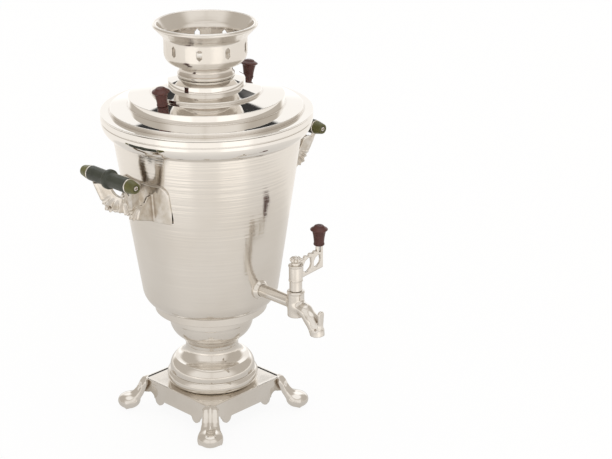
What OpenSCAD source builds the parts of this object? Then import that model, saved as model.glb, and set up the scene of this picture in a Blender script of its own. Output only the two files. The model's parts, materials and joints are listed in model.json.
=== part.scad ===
// Electric samovar: a tapered tank on a waisted pedestal, with a stepped lift-off lid,
// a slotted crown that carries a teapot, two cast handles and a plug tap.
// The origin is on the axis in the plane of the feet. The tap points along -Y and the
// handles along +X and -X. All sizes are millimetres.

/* [Base] */
// Side of the square base plate
base_side = 104.2; // [90:0.2:130]
// Height of the plate's top above the table
base_h = 35; // [30:0.5:42]
// Thickness of the cast plate and its skirt
base_wall = 3; // [2:0.1:4]
// Height of the skirt along the middle of each face
skirt_h = 19.7; // [14:0.1:22]
// Half length of the straight middle of the skirt
skirt_flat = 21; // [16:0.5:24]
// Radius of the round lobe beside the straight edge
skirt_lobe_r = 5.5; // [4:0.1:6]
// Drop of the lobe's centre below the straight edge
skirt_lobe_drop = 0.3; // [0:0.1:2]
// Reach of a foot's toe beyond the base corner
toe_reach = 27.3; // [22:0.1:32]
// Half width of a leg where it leaves the skirt
leg_half_w = 8; // [6:0.1:10]
// Half width of a foot pad
pad_half_w = 12; // [9:0.1:14]
// Thickness of a leg
leg_wall = 4; // [3:0.1:5]

/* [Pedestal] */
// Largest radius of the bottom ring
foot_ring_r = 48; // [44:0.1:50]
// Height of the bottom ring
foot_ring_h = 12.9; // [9:0.1:15]
// Height of the bell above the ring
bell_h = 29.1; // [26:0.1:36]
// Radius of the bell where it meets the ring
bell_r = 44.6; // [42:0.1:46]
// Radius of the waist at the bell's top
waist_r = 27.5; // [24:0.1:32]
// Wall of the spun pedestal and cup
spun_wall = 1.2; // [0.8:0.1:2]
// Height of the cup between waist and tank
cup_h = 36; // [32:0.1:40]
// Radius of the cup's top band
cup_r = 44.5; // [40:0.1:48]
// Height of the cup's top band
cup_band_h = 6.5; // [4:0.1:9]
// Radius of the bright ring under the tank
drip_r = 58.4; // [54:0.1:62]
// Depth of the bright ring, from its underside to its rim
drip_h = 13.2; // [11:0.1:15]
// Height of the bright ring's upright band
drip_band_h = 7.6; // [5:0.1:9]

/* [Tank] */
// Radius of the tank where the wall meets the bottom rounding
tank_foot_r = 70.4; // [64:0.1:78]
// Height of the tank from its flat bottom to its mouth
tank_h = 207.2; // [180:0.2:230]
// Taper of the tank wall from the upright, in degrees
tank_taper = 8.41; // [5:0.01:11]
// Radius of the bottom rounding
tank_round = 20; // [14:0.1:24]
// Wall of the tank
tank_wall = 1.2; // [0.8:0.1:2]
// Reach of the brim beyond the tank's mouth
brim_out = 7.8; // [6:0.1:12]
// Height of the brim's upright band
brim_band_h = 6; // [4:0.1:9]
// Radius of the brim's rounding
brim_round = 18.3; // [14:0.1:22]

/* [Lid] */
// Play between the lid's rim and the brim, and under the crown
lift_gap = 0.3; // [0.3:0.05:0.6]
// Thickness of the lid sheet
lid_wall = 1; // [0.8:0.1:1.5]
// Reach of the lid's rolled rim beyond the brim
lid_over = 0.2; // [0:0.1:2]
// Thickness of the lid's rolled rim
lid_rim_h = 1.5; // [1.2:0.1:2.5]
// Depth of the skirt that drops into the mouth
lid_skirt_h = 8; // [5:0.5:12]
// Play between the lid's skirt and the mouth
lid_skirt_play = 1.6; // [1.4:0.1:3]
// Distance of the first, outer step outside the lid's skirt
step_1_out = 0.9; // [0.5:0.1:1]
// Height of the first step
step_1_h = 3.7; // [2:0.1:6]
// Width of the outer tread, from the first step to the second
outer_tread = 18.2; // [14:0.1:22]
// Height of the second step
step_2_h = 9.2; // [6:0.1:12]
// Radius of the third step
step_3_r = 55.2; // [50:0.1:60]
// Height of the third step
step_3_h = 2.9; // [1.5:0.1:5]
// Radius of the fourth, inner step
step_4_r = 38.9; // [36:0.1:44]
// Height of the fourth step
step_4_h = 6.2; // [4:0.1:9]
// Slope of the two outer treads, in degrees
tread_slope = 7.4; // [4:0.1:10]
// Slope of the two inner treads, in degrees
top_slope = 14; // [10:0.1:18]
// Radius of the flat at the lid's top
lid_flat_r = 29; // [28:0.1:32]
// Height of the collar that centres the crown
lid_collar_h = 5; // [3:0.5:7]
// Distance of the lid knobs inward from the middle of their tread
lid_knob_in = 3.3; // [0:0.1:4]
// Turn of the knob line away from the handles, in degrees
lid_turn = 5.2; // [0:0.1:10]

/* [Crown] */
// Radius of the crown's foot
crown_foot_r = 28.4; // [27:0.1:30]
// Radius of the crown's waist
crown_waist_r = 26.4; // [25:0.1:27.5]
// Radius of the slotted drum
drum_r = 41.5; // [38:0.1:45]
// Height of the crown's lip above its foot
crown_h = 54; // [48:0.1:60]
// Height of the bowl's rounding above the foot
crown_bowl_z = 24.4; // [20:0.1:28]
// Height of the drum from its rounding to the flare
drum_h = 12.6; // [10:0.1:15]
// Radius of the lip
lip_r = 51.9; // [48:0.1:56]
// Radius of the rolled lip's section
lip_roll = 2.2; // [1.5:0.1:3]
// Wall of the crown
crown_wall = 1.2; // [0.8:0.1:2]
// Number of slots around the drum
slot_count = 9; // [6:1:12]
// Width of a slot
slot_w = 5.5; // [3:0.1:7]
// Height of a slot, from point to point
slot_h = 12; // [8:0.1:13]
// Turn of the slot pattern from the tap, in degrees
slot_turn = 29; // [0:0.1:60]

/* [Knobs] */
// Radius of a knob's neck where it stands
knob_neck_r = 5.5; // [4:0.1:7]
// Radius of a knob's brim
knob_brim_r = 8.8; // [7.5:0.1:10]
// Height of a lid knob
knob_h = 19; // [16:0.1:24]
// Height of the key's knob
key_knob_h = 21.3; // [18:0.1:25]
// Radius of the screws in the knobs
knob_screw_r = 1.8; // [1.5:0.1:2.5]

/* [Handles] */
// Distance of the grip's axis from the samovar's axis
grip_at = 128; // [126:0.2:134]
// Depth of the grip's axis below the tank's mouth
grip_down = 41.5; // [38:0.5:46]
// Half length from the middle of a grip to the end of its cap
grip_half = 39; // [36:0.2:44]
// Radius of the grip
grip_r = 7.5; // [6:0.1:8]
// Radius of the raised ring in the middle of the grip
grip_bead_r = 9.8; // [8.5:0.1:11]
// Length of each end cap
cap_len = 10; // [8:0.1:13]
// Radius of a cap at its outer end
cap_tip_r = 5.4; // [4.6:0.1:6.4]
// Radius of the steel rod through a grip
rod_r = 2.5; // [2:0.1:3]
// Thickness of the ear that holds the rod
ear_t = 1.8; // [1.4:0.1:2.4]
// Half width of the flange that lies on the tank
flange_half_w = 34; // [28:0.5:38]
// Height of the flange
flange_h = 40; // [34:0.5:44]
// Drop of the flange's top below the grip's axis
flange_down = 12; // [6:0.5:18]
// Thickness of the flange
flange_t = 2.2; // [1.6:0.1:3]
// Thickness of the bracket's cast walls
bracket_wall = 2.8; // [2:0.1:3.6]
// Number of flutes in the bracket's shell
flute_count = 7; // [5:2:9]
// Radius of a flute at the shell's edge
flute_r = 2.9; // [2:0.1:3.4]

/* [Tap] */
// Height of the tap's shank above the table
tap_z = 157.5; // [150:0.5:175]
// Distance of the tap barrel's axis from the samovar's axis
barrel_at = 124; // [116:0.5:132]
// Radius of the barrel
barrel_r = 8.4; // [8:0.1:9.2]
// Height of the barrel
barrel_h = 27.1; // [24:0.1:30]
// Height of the barrel's top above the shank's axis
barrel_up = 14.4; // [12:0.1:16]
// Radius of the shank
shank_r = 6.2; // [5:0.1:6.8]
// Radius of the round plate behind the shank
rose_r = 10; // [8.5:0.1:12]
// Thickness of the round plate
rose_t = 4.4; // [3:0.1:6]
// Radius of the plug at the top of its taper
plug_r = 5.4; // [5:0.05:5.8]
// Running clearance between the plug and its bore
plug_play = 0.05; // [0.03:0.01:0.09]
// Radius of the water way
water_r = 2.4; // [1.8:0.1:2.8]
// Drop of the spout's end below the shank's axis
spout_drop = 18; // [15:0.1:21]
// Reach of the spout's end beyond the barrel's axis
spout_reach = 27.5; // [24:0.1:31]
// Radius of the spout's root
spout_root_r = 7; // [6:0.1:7.4]
// Radius of the spout's end
spout_end_r = 7.3; // [6.4:0.1:8]
// Height of the neck between barrel and hub
key_neck_h = 10; // [8:0.1:14]
// Height of the key's hub
hub_h = 16.8; // [14:0.1:20]
// Radius of the key's hub
hub_r = 6.8; // [6.4:0.1:7.6]
// Reach of the key's post from the hub's axis
post_at = 33; // [30:0.1:36]
// Height of the key's post above the hub's foot
post_h = 28.4; // [25:0.1:32]
// Thickness of the key's pierced branch
branch_t = 3.2; // [2.4:0.1:5]
// Height of the rosette on the hub
rosette_h = 8.6; // [7:0.1:10]

/* [Heater] */
// Distance of the heating loop inside the edge of the tank's flat floor
heater_in = 8.6; // [8.2:0.1:16]
// Radius of the heating tube
heater_tube_r = 4; // [3:0.1:5]
// Height of the loop above the tank's floor
heater_up = 13; // [10:0.5:18]
// Half distance between the heater's two ends
heater_end_at = 16; // [14:0.5:20]
// Radius of the inlet's collar
inlet_r = 11; // [10:0.1:12]
// Radius of an inlet pin
inlet_pin_r = 2.2; // [2:0.1:2.5]
// Half distance between the inlet pins
inlet_pin_at = 4.6; // [4:0.1:5]

/* [Hidden] */
$fn = 96;

// Finishes
satin_nickel = "#c9c4bb";
bright_nickel = "#dedad2";
cast_nickel = "#cfc7b8";
brown_plastic = "#5a322e";
green_plastic = "#3c4038";
olive_plastic = "#6a6a38";
steel = "#9a9a98";
brass = "#b59a55";
rubber = "#3a3a3a";

cut = 1;                       // overshoot of a cutting tool
eps = 0.01;                    // overlap that joins parts of one piece
arc_n = 8;                     // segments of a profile arc

// Heights of the stack, from the table up
ring_z = base_h;
bell_z = ring_z + foot_ring_h;
cup_z = bell_z + bell_h;
drip_z = cup_z + cup_h;
tank_seat = 11.3;               // the tank's floor above the bright ring's underside
tank_z = drip_z + tank_seat;
mouth_z = tank_z + tank_h;
lid_z = mouth_z + lift_gap;

// The tank: the bottom rounding is tangent to the floor and to the tapered wall
tank_tan_z = tank_z + tank_round * (1 - sin(tank_taper));
tank_arc_r = tank_foot_r - tank_round * cos(tank_taper);
tank_arc_z = tank_z + tank_round;
function tank_r_at(z) = tank_foot_r + (z - tank_tan_z) * tan(tank_taper);
mouth_r = tank_r_at(mouth_z);
band_z = mouth_z - brim_band_h;
brim_r = mouth_r + brim_out;
brim_turn = 72;                // turn of the brim's rounding, from its band to the tank
brim_groove = 0.5;             // depth and half width of the line under the band

// The tie bolt, from a washer under the base up into a boss under the tank
bolt_r = 4;
bolt_clear = 0.4;
bolt_head_r = 7.5;
bolt_head_h = 5;
bolt_top_z = tank_z - 3;
tie_washer_r = 14;
tie_washer_t = 2;
boss_r = 9;

// The heater's fixings and leads
heater_loop_r = tank_arc_r - heater_in;
heater_z = tank_z + tank_wall + heater_up;
heater_end_y = sqrt(pow(heater_loop_r, 2) - pow(heater_end_at, 2));
wire_r = 1.4;
wire_gap = 0.3;                // play between a wire's end and its terminal
wire_z = drip_z + spun_wall + 2;
heater_foot_z = wire_z + wire_r + wire_gap;
heater_nut_r = 8;
heater_nut_h = 4;
heater_seal_t = 2;
bend_swell = 1.05;             // a bend's ball against its tube
wire_at = 7;
wire_tail = 4;                 // straight end of a wire behind its pin
wire_back = 24;
wire_neck = 13;
wire_pass = [[-wire_at, wire_back], [wire_at, wire_back]];
inlet_turn = -45;              // toward the corner between the tap's far side and the right
inlet_z = base_h + 17;
inlet_out = bell_r + 7;
inlet_wall = 1.8;
inlet_floor = 3;
inlet_back = 32;
inlet_tail = 4;

// The handles; ear_top, toe, root_top and root_low are the corners of a bracket's wall
grip_z = mouth_z - grip_down;
flange_top_z = grip_z - flange_down;
root_top_z = flange_top_z - 10;
root_low_z = flange_top_z - flange_h + 4;
ear_y = grip_half - cap_len - ear_t;
ear_r = 7.2;
bracket_drop = 38;
ear_top = [grip_at - 1.5, ear_y + ear_t / 2, grip_z - 6];
toe = [grip_at - 12, 12, grip_z - bracket_drop];
root_top = [tank_r_at(root_top_z), 14.5, root_top_z];
root_low = [tank_r_at(root_low_z), 12.5, root_low_z];
notch_r = 10;
notch_z = grip_z - 10;
hole_r = 4;
hole_at = grip_at - 24;
hole_z = grip_z - 21;
flute_fan = 100;
flute_from = 2;
flute_len = 11;
stud_r = 2;
stud_turn = 16;
stud_turns = [-stud_turn, stud_turn, 180 - stud_turn, 180 + stud_turn];
stud_z = flange_top_z - flange_h / 2;
stud_len = 7;
nut_r = 4.2;
nut_h = 3;
cap_foot = ear_y + ear_t;
rod_half = cap_foot + 6;
cap_screw_r = 1.2;
cap_screw_in = 5;
cap_head_r = 3;
head_sunk = 1.2;

// The tap
barrel_top_z = tap_z + barrel_up;
barrel_low_z = barrel_top_z - barrel_h;
shoulder_z = barrel_low_z + 4.2;
plug_low_r = plug_r - 1;
plug_end_z = shoulder_z - 0.4;
washer_room = plug_r + 0.2;
key_screw_r = 1.4;
key_screw_len = 5;
key_screw_head = 1.4;
tap_wall_y = tank_r_at(tap_z);
shank_in = 14;
rose_in = 2;                   // the rose starts this far inside the tank's wall
tap_nut_h = 5;
tap_nut_r = shank_r + 4.6;
gasket_t = 2;
neck_r = 6.3;
hub_z = barrel_top_z + lift_gap + key_neck_h;
hub_top_z = hub_z + hub_h;
spigot_r = 3.6;
thread_r = 2.5;
knob_seat_z = hub_z + post_h;
channel_fall = 48;
channel_len = 22;
outlet_lean = -6;
outlet_r = 4.4;
outlet_depth = 5;
mouth_h = 5;                   // height of the spout's mouth

// Screws in the knobs
pin_in = 6;
knob_screw_in = 10;
washer_t = 0.8;
washer_r = 5;
washer_play = 0.1;
screw_head_r = 3.4;
screw_head_h = 2;
screw_slot = 0.8;              // width and depth of a screw's slot
knob_play = 0.05;              // play between a lid knob and its tread

// The lid, step by step from the rim: radius, foot height, top height
lid_rim_r = brim_r + lid_over;
lid_skirt_r = mouth_r - tank_wall - lid_skirt_play;
step_1_r = lid_skirt_r + step_1_out;
step_2_r = step_1_r - outer_tread;
lid_top_z = lid_z + lid_rim_h;
step_1_top = lid_top_z + step_1_h;
step_2_foot = step_1_top + (step_1_r - step_2_r) * tan(tread_slope);
step_2_top = step_2_foot + step_2_h;
step_3_foot = step_2_top + (step_2_r - step_3_r) * tan(tread_slope);
step_3_top = step_3_foot + step_3_h;
step_4_foot = step_3_top + (step_3_r - step_4_r) * tan(top_slope);
step_4_top = step_4_foot + step_4_h;
lid_flat_z = step_4_top + (step_4_r - lid_flat_r) * tan(top_slope);
function tread_z(r) = step_2_top + (step_2_r - r) * tan(tread_slope);
lid_knob_at = (step_2_r + step_3_r) / 2 - lid_knob_in;
crown_z = lid_flat_z + lift_gap;
lid_collar_r = crown_waist_r - crown_wall - 1;

// ---- profiles -------------------------------------------------------------

function unit(v) = v / norm(v);
function left_of(a, b) = unit([a[1] - b[1], b[0] - a[0]]);
function miter(m, n) = (m + n) / (1 + m * n);

// Points of an arc round [r, z], from one angle to another
function arc(r, z, radius, from, to) =
    [for (i = [0 : arc_n]) [r, z] + radius * [cos(from + (to - from) * i / arc_n),
                                              sin(from + (to - from) * i / arc_n)]];

// The line that runs a wall's thickness to the left of a profile
function inner_line(p, wall) =
    [for (i = [0 : len(p) - 1])
        p[i] + wall * miter(left_of(p[max(i - 1, 0)], p[max(i, 1)]),
                            left_of(p[min(i, len(p) - 2)], p[min(i + 1, len(p) - 1)]))];

function reversed(p) = [for (i = [len(p) - 1 : -1 : 0]) p[i]];

// A list of points without its first, which the line before it has given already
function carried_on(p) = [for (i = [1 : len(p) - 1]) p[i]];

// Sheet metal spun to a profile, with its wall on the profile's left
module spun(profile, wall) {
    rotate_extrude() polygon(concat(profile, reversed(inner_line(profile, wall))));
}

// A ring between two radii and two heights
module ring(r_in, r_out, z, h) {
    translate([0, 0, z]) difference() {
        cylinder(r = r_out, h = h);
        translate([0, 0, -cut]) cylinder(r = r_in, h = h + 2 * cut);
    }
}

// A hexagon nut
module nut(r, h, bore) {
    difference() {
        cylinder(r = r, h = h, $fn = 6);
        translate([0, 0, -cut]) cylinder(r = bore, h = h + 2 * cut);
    }
}

// The room that the tank takes, grown by a margin, for pieces that lie on it
module tank_room(grow) {
    rotate_extrude($fn = 360) polygon([[0, tank_tan_z], [tank_foot_r + grow, tank_tan_z],
                              [mouth_r + grow, mouth_z], [0, mouth_z]]);
}

// Places children on the tank's wall, +X along the outward normal
module on_wall(turn, z) {
    rotate([0, 0, turn]) translate([tank_r_at(z), 0, z]) rotate([0, tank_taper, 0]) children();
}

// Places children at the tap barrel's axis
module at_barrel() {
    translate([0, -barrel_at, 0]) children();
}

// ---- base -----------------------------------------------------------------

half_side = base_side / 2;
corner_r = half_side * sqrt(2);
arch_at = half_side - 11;      // middle of the arch between lobe and leg
arch_clear = 2;                // lift of the skirt's edge beside a leg

// One face of the skirt: a straight middle, a lobe at each side, then the leg's arch
module skirt_outline() {
    edge_z = base_h - skirt_h;
    lobe_at = skirt_flat + skirt_lobe_r + 2;
    difference() {
        union() {
            translate([-half_side, edge_z]) square([base_side, skirt_h]);
            for (side = [-1, 1])
                translate([side * lobe_at, edge_z - skirt_lobe_drop]) circle(r = skirt_lobe_r);
        }
        for (side = [-1, 1]) {
            translate([side * arch_at, edge_z]) circle(r = skirt_lobe_r);
            translate([side * half_side - (half_side - arch_at), edge_z - cut])
                square([2 * (half_side - arch_at), arch_clear + cut]);
        }
    }
}

// Stations of a leg from the corner down to the toe: share of the reach, share of the
// base's height, half width, fall of the edges below the ridge, wall, lean of the section
leg_stations = [
    [-0.02, 0.93, leg_half_w, leg_half_w, leg_wall, 10],
    [0.10, 0.82, leg_half_w, 0.94 * leg_half_w, leg_wall, 25],
    [0.21, 0.70, leg_half_w, 0.81 * leg_half_w, leg_wall, 35],
    [0.38, 0.60, 1.04 * leg_half_w, 0.62 * leg_half_w, 1.3 * leg_wall, 55],
    [0.62, 0.475, 0.80 * pad_half_w, 0.50 * leg_half_w, 2.2 * leg_wall, 75],
    [0.82, 0.42, 0.97 * pad_half_w, 0.44 * leg_half_w, 2.5 * leg_wall, 90],
    [0.95, 0.34, 0.80 * pad_half_w, 0.38 * leg_half_w, 2 * leg_wall, 90],
    [1.00, 0.26, 0.42 * pad_half_w, 0.25 * leg_half_w, leg_wall, 90]
];
leg_last = len(leg_stations) - 1;

// Section of a leg, as [side, out] pairs: a ridge between two flanks over a shallow back
function leg_section(w, fall, wall) =
    [[0, 0], [0.55 * w, -0.45 * fall], [w, -fall], [0.92 * w, -fall - 0.7 * wall],
     [0.5 * w, -0.8 * fall - wall], [0, -0.45 * fall - wall],
     [-0.5 * w, -0.8 * fall - wall], [-0.92 * w, -fall - 0.7 * wall], [-w, -fall],
     [-0.55 * w, -0.45 * fall]];
leg_sides = len(leg_section(1, 1, 1));

// The points of one station, leaning back from the ridge
function leg_ring(s) =
    [for (q = leg_section(s[2], s[3], s[4]))
        [corner_r + s[0] * toe_reach + q[1] * cos(s[5]), q[0],
         s[1] * base_h + q[1] * sin(s[5])]];

// A leg is lofted through its stations
module leg() {
    points = [for (s = leg_stations) each leg_ring(s)];
    walls = [for (i = [0 : leg_last - 1]) for (k = [0 : leg_sides - 1])
        let (a = i * leg_sides + k, b = i * leg_sides + (k + 1) % leg_sides)
        each [[a, b, a + leg_sides], [b, b + leg_sides, a + leg_sides]]];
    start = [[for (k = [leg_sides - 1 : -1 : 0]) k]];
    end = [[for (k = [0 : leg_sides - 1]) leg_last * leg_sides + k]];
    polyhedron(points, concat(start, walls, end));
}

// The sole of a foot, flat on the table
module sole() {
    sole_h = 7;
    sole_edge = 2.5;
    translate([corner_r + toe_reach - pad_half_w, 0, 0]) {
        cylinder(r1 = pad_half_w - sole_edge, r2 = pad_half_w - 0.5, h = sole_edge);
        translate([0, 0, sole_edge])
            cylinder(r1 = pad_half_w - 0.5, r2 = pad_half_w - sole_edge, h = sole_h - sole_edge);
    }
}

module base() {
    color(bright_nickel) difference() {
        union() {
            translate([-half_side, -half_side, base_h - base_wall])
                cube([base_side, base_side, base_wall]);
            for (a = [0 : 90 : 270]) rotate([0, 0, a]) {
                translate([0, base_wall - half_side, 0]) rotate([90, 0, 0])
                    linear_extrude(base_wall) skirt_outline();
                rotate([0, 0, 45]) {
                    leg();
                    sole();
                }
            }
        }
        translate([0, 0, base_h - base_wall - cut])
            cylinder(r = bolt_r + bolt_clear, h = base_wall + 2 * cut);
    }
}

// ---- pedestal -------------------------------------------------------------

ring_round = 7.5;              // section radius of the bottom ring
lip_in = 6;                    // width of the inward lips that meet the next piece
bell_shoulder = 14.2;          // radius of the bell's shoulder
cup_bowl = 22.4;               // radius of the cup's bowl
ring_lift = 0.5;               // the ring's bulge lies this far above its middle
bell_foot = 2.6;               // upright foot of the bell, under its shoulder
shoulder_turn = 54;
cup_flare = [0.8, 4];          // the cup's first flare above the waist, out and up
band_edge = 0.8;               // the cup's band stands this far out from its bowl

module foot_ring() {
    mid_z = ring_z + foot_ring_h / 2 + ring_lift;
    low = asin((mid_z - ring_z) / ring_round);
    high = asin((bell_z - mid_z) / ring_round);
    color(bright_nickel) difference() {
        spun(concat([[foot_ring_r - 2 * lip_in, ring_z]],
                    arc(foot_ring_r - ring_round, mid_z, ring_round, -low, high),
                    [[bell_r - lip_in, bell_z]]), spun_wall);
        inlet_hole();
    }
}

// The bell's cove starts where the shoulder ends and stands upright at the waist
module pedestal_bell() {
    shoulder_r = bell_r - bell_shoulder * (1 - cos(shoulder_turn));
    shoulder_z = bell_z + bell_foot + bell_shoulder * sin(shoulder_turn);
    cove_z = cup_z - spun_wall;
    cove_in = shoulder_r - waist_r;
    cove_r = (pow(cove_in, 2) + pow(cove_z - shoulder_z, 2)) / (2 * cove_in);
    cove_turn = atan2(cove_z - shoulder_z, cove_r - cove_in);
    color(bright_nickel) difference() {
        spun(concat([[bell_r - lip_in, bell_z], [bell_r, bell_z]],
                    arc(bell_r - bell_shoulder, bell_z + bell_foot, bell_shoulder, 0,
                        shoulder_turn),
                    carried_on(arc(waist_r + cove_r, cove_z, cove_r, 180 + cove_turn, 180)),
                    [[waist_r, cup_z], [waist_r - lip_in, cup_z]]), spun_wall);
        inlet_hole();
    }
}

module neck_cup() {
    band_foot = drip_z - cup_band_h;
    color(bright_nickel)
        spun(concat([[waist_r - lip_in, cup_z], [waist_r, cup_z],
                     [waist_r, cup_z] + cup_flare],
                    arc(cup_r - band_edge - cup_bowl, band_foot, cup_bowl, -58, -2),
                    [[cup_r, band_foot + band_edge], [cup_r, drip_z],
                     [cup_r - lip_in, drip_z]]), spun_wall);
}

module drip_ring() {
    band_foot = drip_z + drip_h - drip_band_h;
    color(bright_nickel) difference() {
        spun([[bolt_r + bolt_clear, drip_z], [cup_r, drip_z], [drip_r - 2, band_foot - 1],
              [drip_r, band_foot], [drip_r, drip_z + drip_h]], spun_wall);
        tank_body();
        for (p = wire_pass) translate([p[0], p[1], drip_z - cut])
            cylinder(r = wire_r + 0.8, h = spun_wall + 2 * cut);
    }
}

// ---- tank -----------------------------------------------------------------

tank_profile = concat([[0, tank_z]],
                      arc(tank_arc_r, tank_arc_z, tank_round, -90, -tank_taper),
                      [[mouth_r, mouth_z]]);

// The whole room inside the tank's outer surface
module tank_body() {
    rotate_extrude() polygon(concat(tank_profile, [[0, mouth_z]]));
}

module tank() {
    color(satin_nickel) difference() {
        spun(tank_profile, tank_wall);
        for (side = [-1, 1]) translate([side * heater_end_at, heater_end_y, tank_z - cut])
            cylinder(r = heater_tube_r + 0.3, h = tank_wall + 2 * cut);
        translate([0, -tap_wall_y + tank_round, tap_z]) rotate([90, 0, 0])
            cylinder(r = shank_r + 0.3, h = 2 * tank_round);
        for (turn = stud_turns) on_wall(turn, stud_z) rotate([0, 90, 0])
            cylinder(r = stud_r + 0.3, h = 4 * tank_wall, center = true);
    }
}

module brim() {
    color(bright_nickel) difference() {
        spun(concat(arc(brim_r - brim_round, band_z, brim_round, -brim_turn, 0),
                    [[brim_r, mouth_z], [mouth_r - tank_wall / 2, mouth_z]]), spun_wall);
        tank_room(0);
        ring(brim_r - brim_groove, brim_r + cut, band_z - brim_groove, 2 * brim_groove);
    }
}

// ---- tie bolt -------------------------------------------------------------

module tie_bolt() {
    head_top = base_h - base_wall - tie_washer_t;
    color(steel) {
        translate([0, 0, head_top - bolt_head_h]) cylinder(r = bolt_head_r, h = bolt_head_h, $fn = 6);
        translate([0, 0, head_top - eps]) cylinder(r = bolt_r, h = bolt_top_z - head_top + eps);
    }
}

module tie_washer() {
    color(steel) ring(bolt_r + bolt_clear, tie_washer_r, base_h - base_wall - tie_washer_t,
                      tie_washer_t);
}

module tie_boss() {
    color(brass) difference() {
        translate([0, 0, drip_z + spun_wall]) cylinder(r = boss_r, h = tank_seat - spun_wall);
        translate([0, 0, drip_z]) cylinder(r = bolt_r + 0.05, h = bolt_top_z + 0.5 - drip_z);
    }
}

// ---- heater and inlet -----------------------------------------------------

// A bent tube with round corners through a list of points
module tube_path(path, radius) {
    for (i = [0 : len(path) - 2]) {
        run = path[i + 1] - path[i];
        translate(path[i]) rotate([0, acos(run[2] / norm(run)), atan2(run[1], run[0])])
            cylinder(r = radius, h = norm(run));
    }
    for (i = [1 : len(path) - 2]) translate(path[i])
        sphere(r = 1.03 * bend_swell * radius);
}

module heater_element() {
    gap = asin(heater_end_at / heater_loop_r);
    color(steel) {
        translate([0, 0, heater_z]) rotate([0, 0, 90 + gap])
            rotate_extrude(angle = 360 - 2 * gap) translate([heater_loop_r, 0])
                circle(r = heater_tube_r);
        for (side = [-1, 1]) translate([side * heater_end_at, heater_end_y, 0]) {
            translate([0, 0, heater_foot_z])
                cylinder(r = heater_tube_r, h = heater_z - heater_foot_z);
            translate([0, 0, heater_z]) sphere(r = bend_swell * heater_tube_r);
        }
    }
}

module heater_seals() {
    color(rubber) for (side = [-1, 1]) translate([side * heater_end_at, heater_end_y, 0])
        ring(heater_tube_r + 0.1, heater_nut_r, tank_z + tank_wall, heater_seal_t);
}

module heater_nuts() {
    color(brass) for (side = [-1, 1])
        translate([side * heater_end_at, heater_end_y, tank_z - heater_nut_h])
            nut(heater_nut_r, heater_nut_h, heater_tube_r + 0.1);
}

// Stands a piece on the inlet's floor, upright along the inlet's axis
module at_inlet(back) {
    rotate([0, 0, inlet_turn]) translate([0, back, inlet_z]) rotate([-90, 0, 0]) children();
}

// The round hole for the inlet through the back of the pedestal
module inlet_hole() {
    at_inlet(inlet_back) cylinder(r = inlet_r + 0.1, h = foot_ring_r);
}

module inlet_collar() {
    color(rubber) at_inlet(inlet_back) difference() {
        cylinder(r = inlet_r, h = inlet_out - inlet_back);
        translate([0, 0, inlet_floor])
            cylinder(r = inlet_r - inlet_wall, h = inlet_out - inlet_back);
        for (side = [-1, 1]) translate([side * inlet_pin_at, 0, -cut])
            cylinder(r = inlet_pin_r + 0.05, h = inlet_floor + 2 * cut);
    }
}

module inlet_pins() {
    color(brass) at_inlet(inlet_back - inlet_tail) for (side = [-1, 1])
        translate([side * inlet_pin_at, 0, 0])
            cylinder(r = inlet_pin_r, h = inlet_out - inlet_back + inlet_tail - 1.5);
}

// A point behind an inlet pin, this far from the axis
function behind_pin(side, y) =
    [side * inlet_pin_at * cos(inlet_turn) - y * sin(inlet_turn),
     side * inlet_pin_at * sin(inlet_turn) + y * cos(inlet_turn), inlet_z];

module lead_wires() {
    color(rubber) for (side = [-1, 1])
        tube_path([[side * heater_end_at, heater_end_y, wire_z],
                   [side * wire_at, wire_back, wire_z],
                   [side * wire_at, wire_back, cup_z + cup_h / 3],
                   [side * wire_at, wire_neck, cup_z],
                   [side * wire_at, wire_neck, bell_z + bell_h / 2],
                   behind_pin(side, inlet_back - inlet_tail - wire_tail),
                   behind_pin(side, inlet_back - inlet_tail - wire_gap)],
                  wire_r, $fn = 16);
}

// ---- tap ------------------------------------------------------------------

// A round bar along the shank, between two distances from the samovar's axis
module along_tap(near, far, radius) {
    translate([0, -near, tap_z]) rotate([90, 0, 0]) cylinder(r = radius, h = far - near);
}

// The taper that the plug and the bore share, grown by the running clearance
module taper(grow, low_z, high_z) {
    slope = (plug_r - plug_low_r) / (barrel_top_z - shoulder_z);
    at_barrel() translate([0, 0, low_z])
        cylinder(r1 = plug_r - slope * (barrel_top_z - low_z) + grow,
                 r2 = plug_r - slope * (barrel_top_z - high_z) + grow, h = high_z - low_z);
}

module tap_rose() {
    color(cast_nickel) difference() {
        translate([0, rose_in - tap_wall_y, tap_z]) rotate([90, 0, 0]) {
            cylinder(r = rose_r, h = rose_in + rose_t / 3);
            translate([0, 0, rose_in + rose_t / 3])
                cylinder(r1 = rose_r, r2 = shank_r + 1.5, h = 2 * rose_t / 3);
        }
        tank_room(0);
        along_tap(0, barrel_at, shank_r + 0.1);
    }
}

// Centres and radii of the spout's line: [out from the barrel, drop, radius]
spout_line = [
    [0, 0.05 * spout_drop, spout_root_r],
    [0.47 * spout_reach, 0.2 * spout_drop, spout_root_r],
    [0.77 * spout_reach, 0.58 * spout_drop, 0.5 * (spout_root_r + spout_end_r)],
    [spout_reach, spout_drop, spout_end_r]
];

// A ball of the spout's line
module spout_ball(p) {
    translate([0, -barrel_at - p[0], tap_z - p[1]]) sphere(r = p[2], $fn = 32);
}

// The outlet's frame: at the mouth's centre, +Z up the bore
module at_outlet() {
    translate([0, -barrel_at - spout_reach - 2, tap_z - spout_drop - 1.4 * mouth_h])
        rotate([outlet_lean, 0, 0]) children();
}

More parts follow.
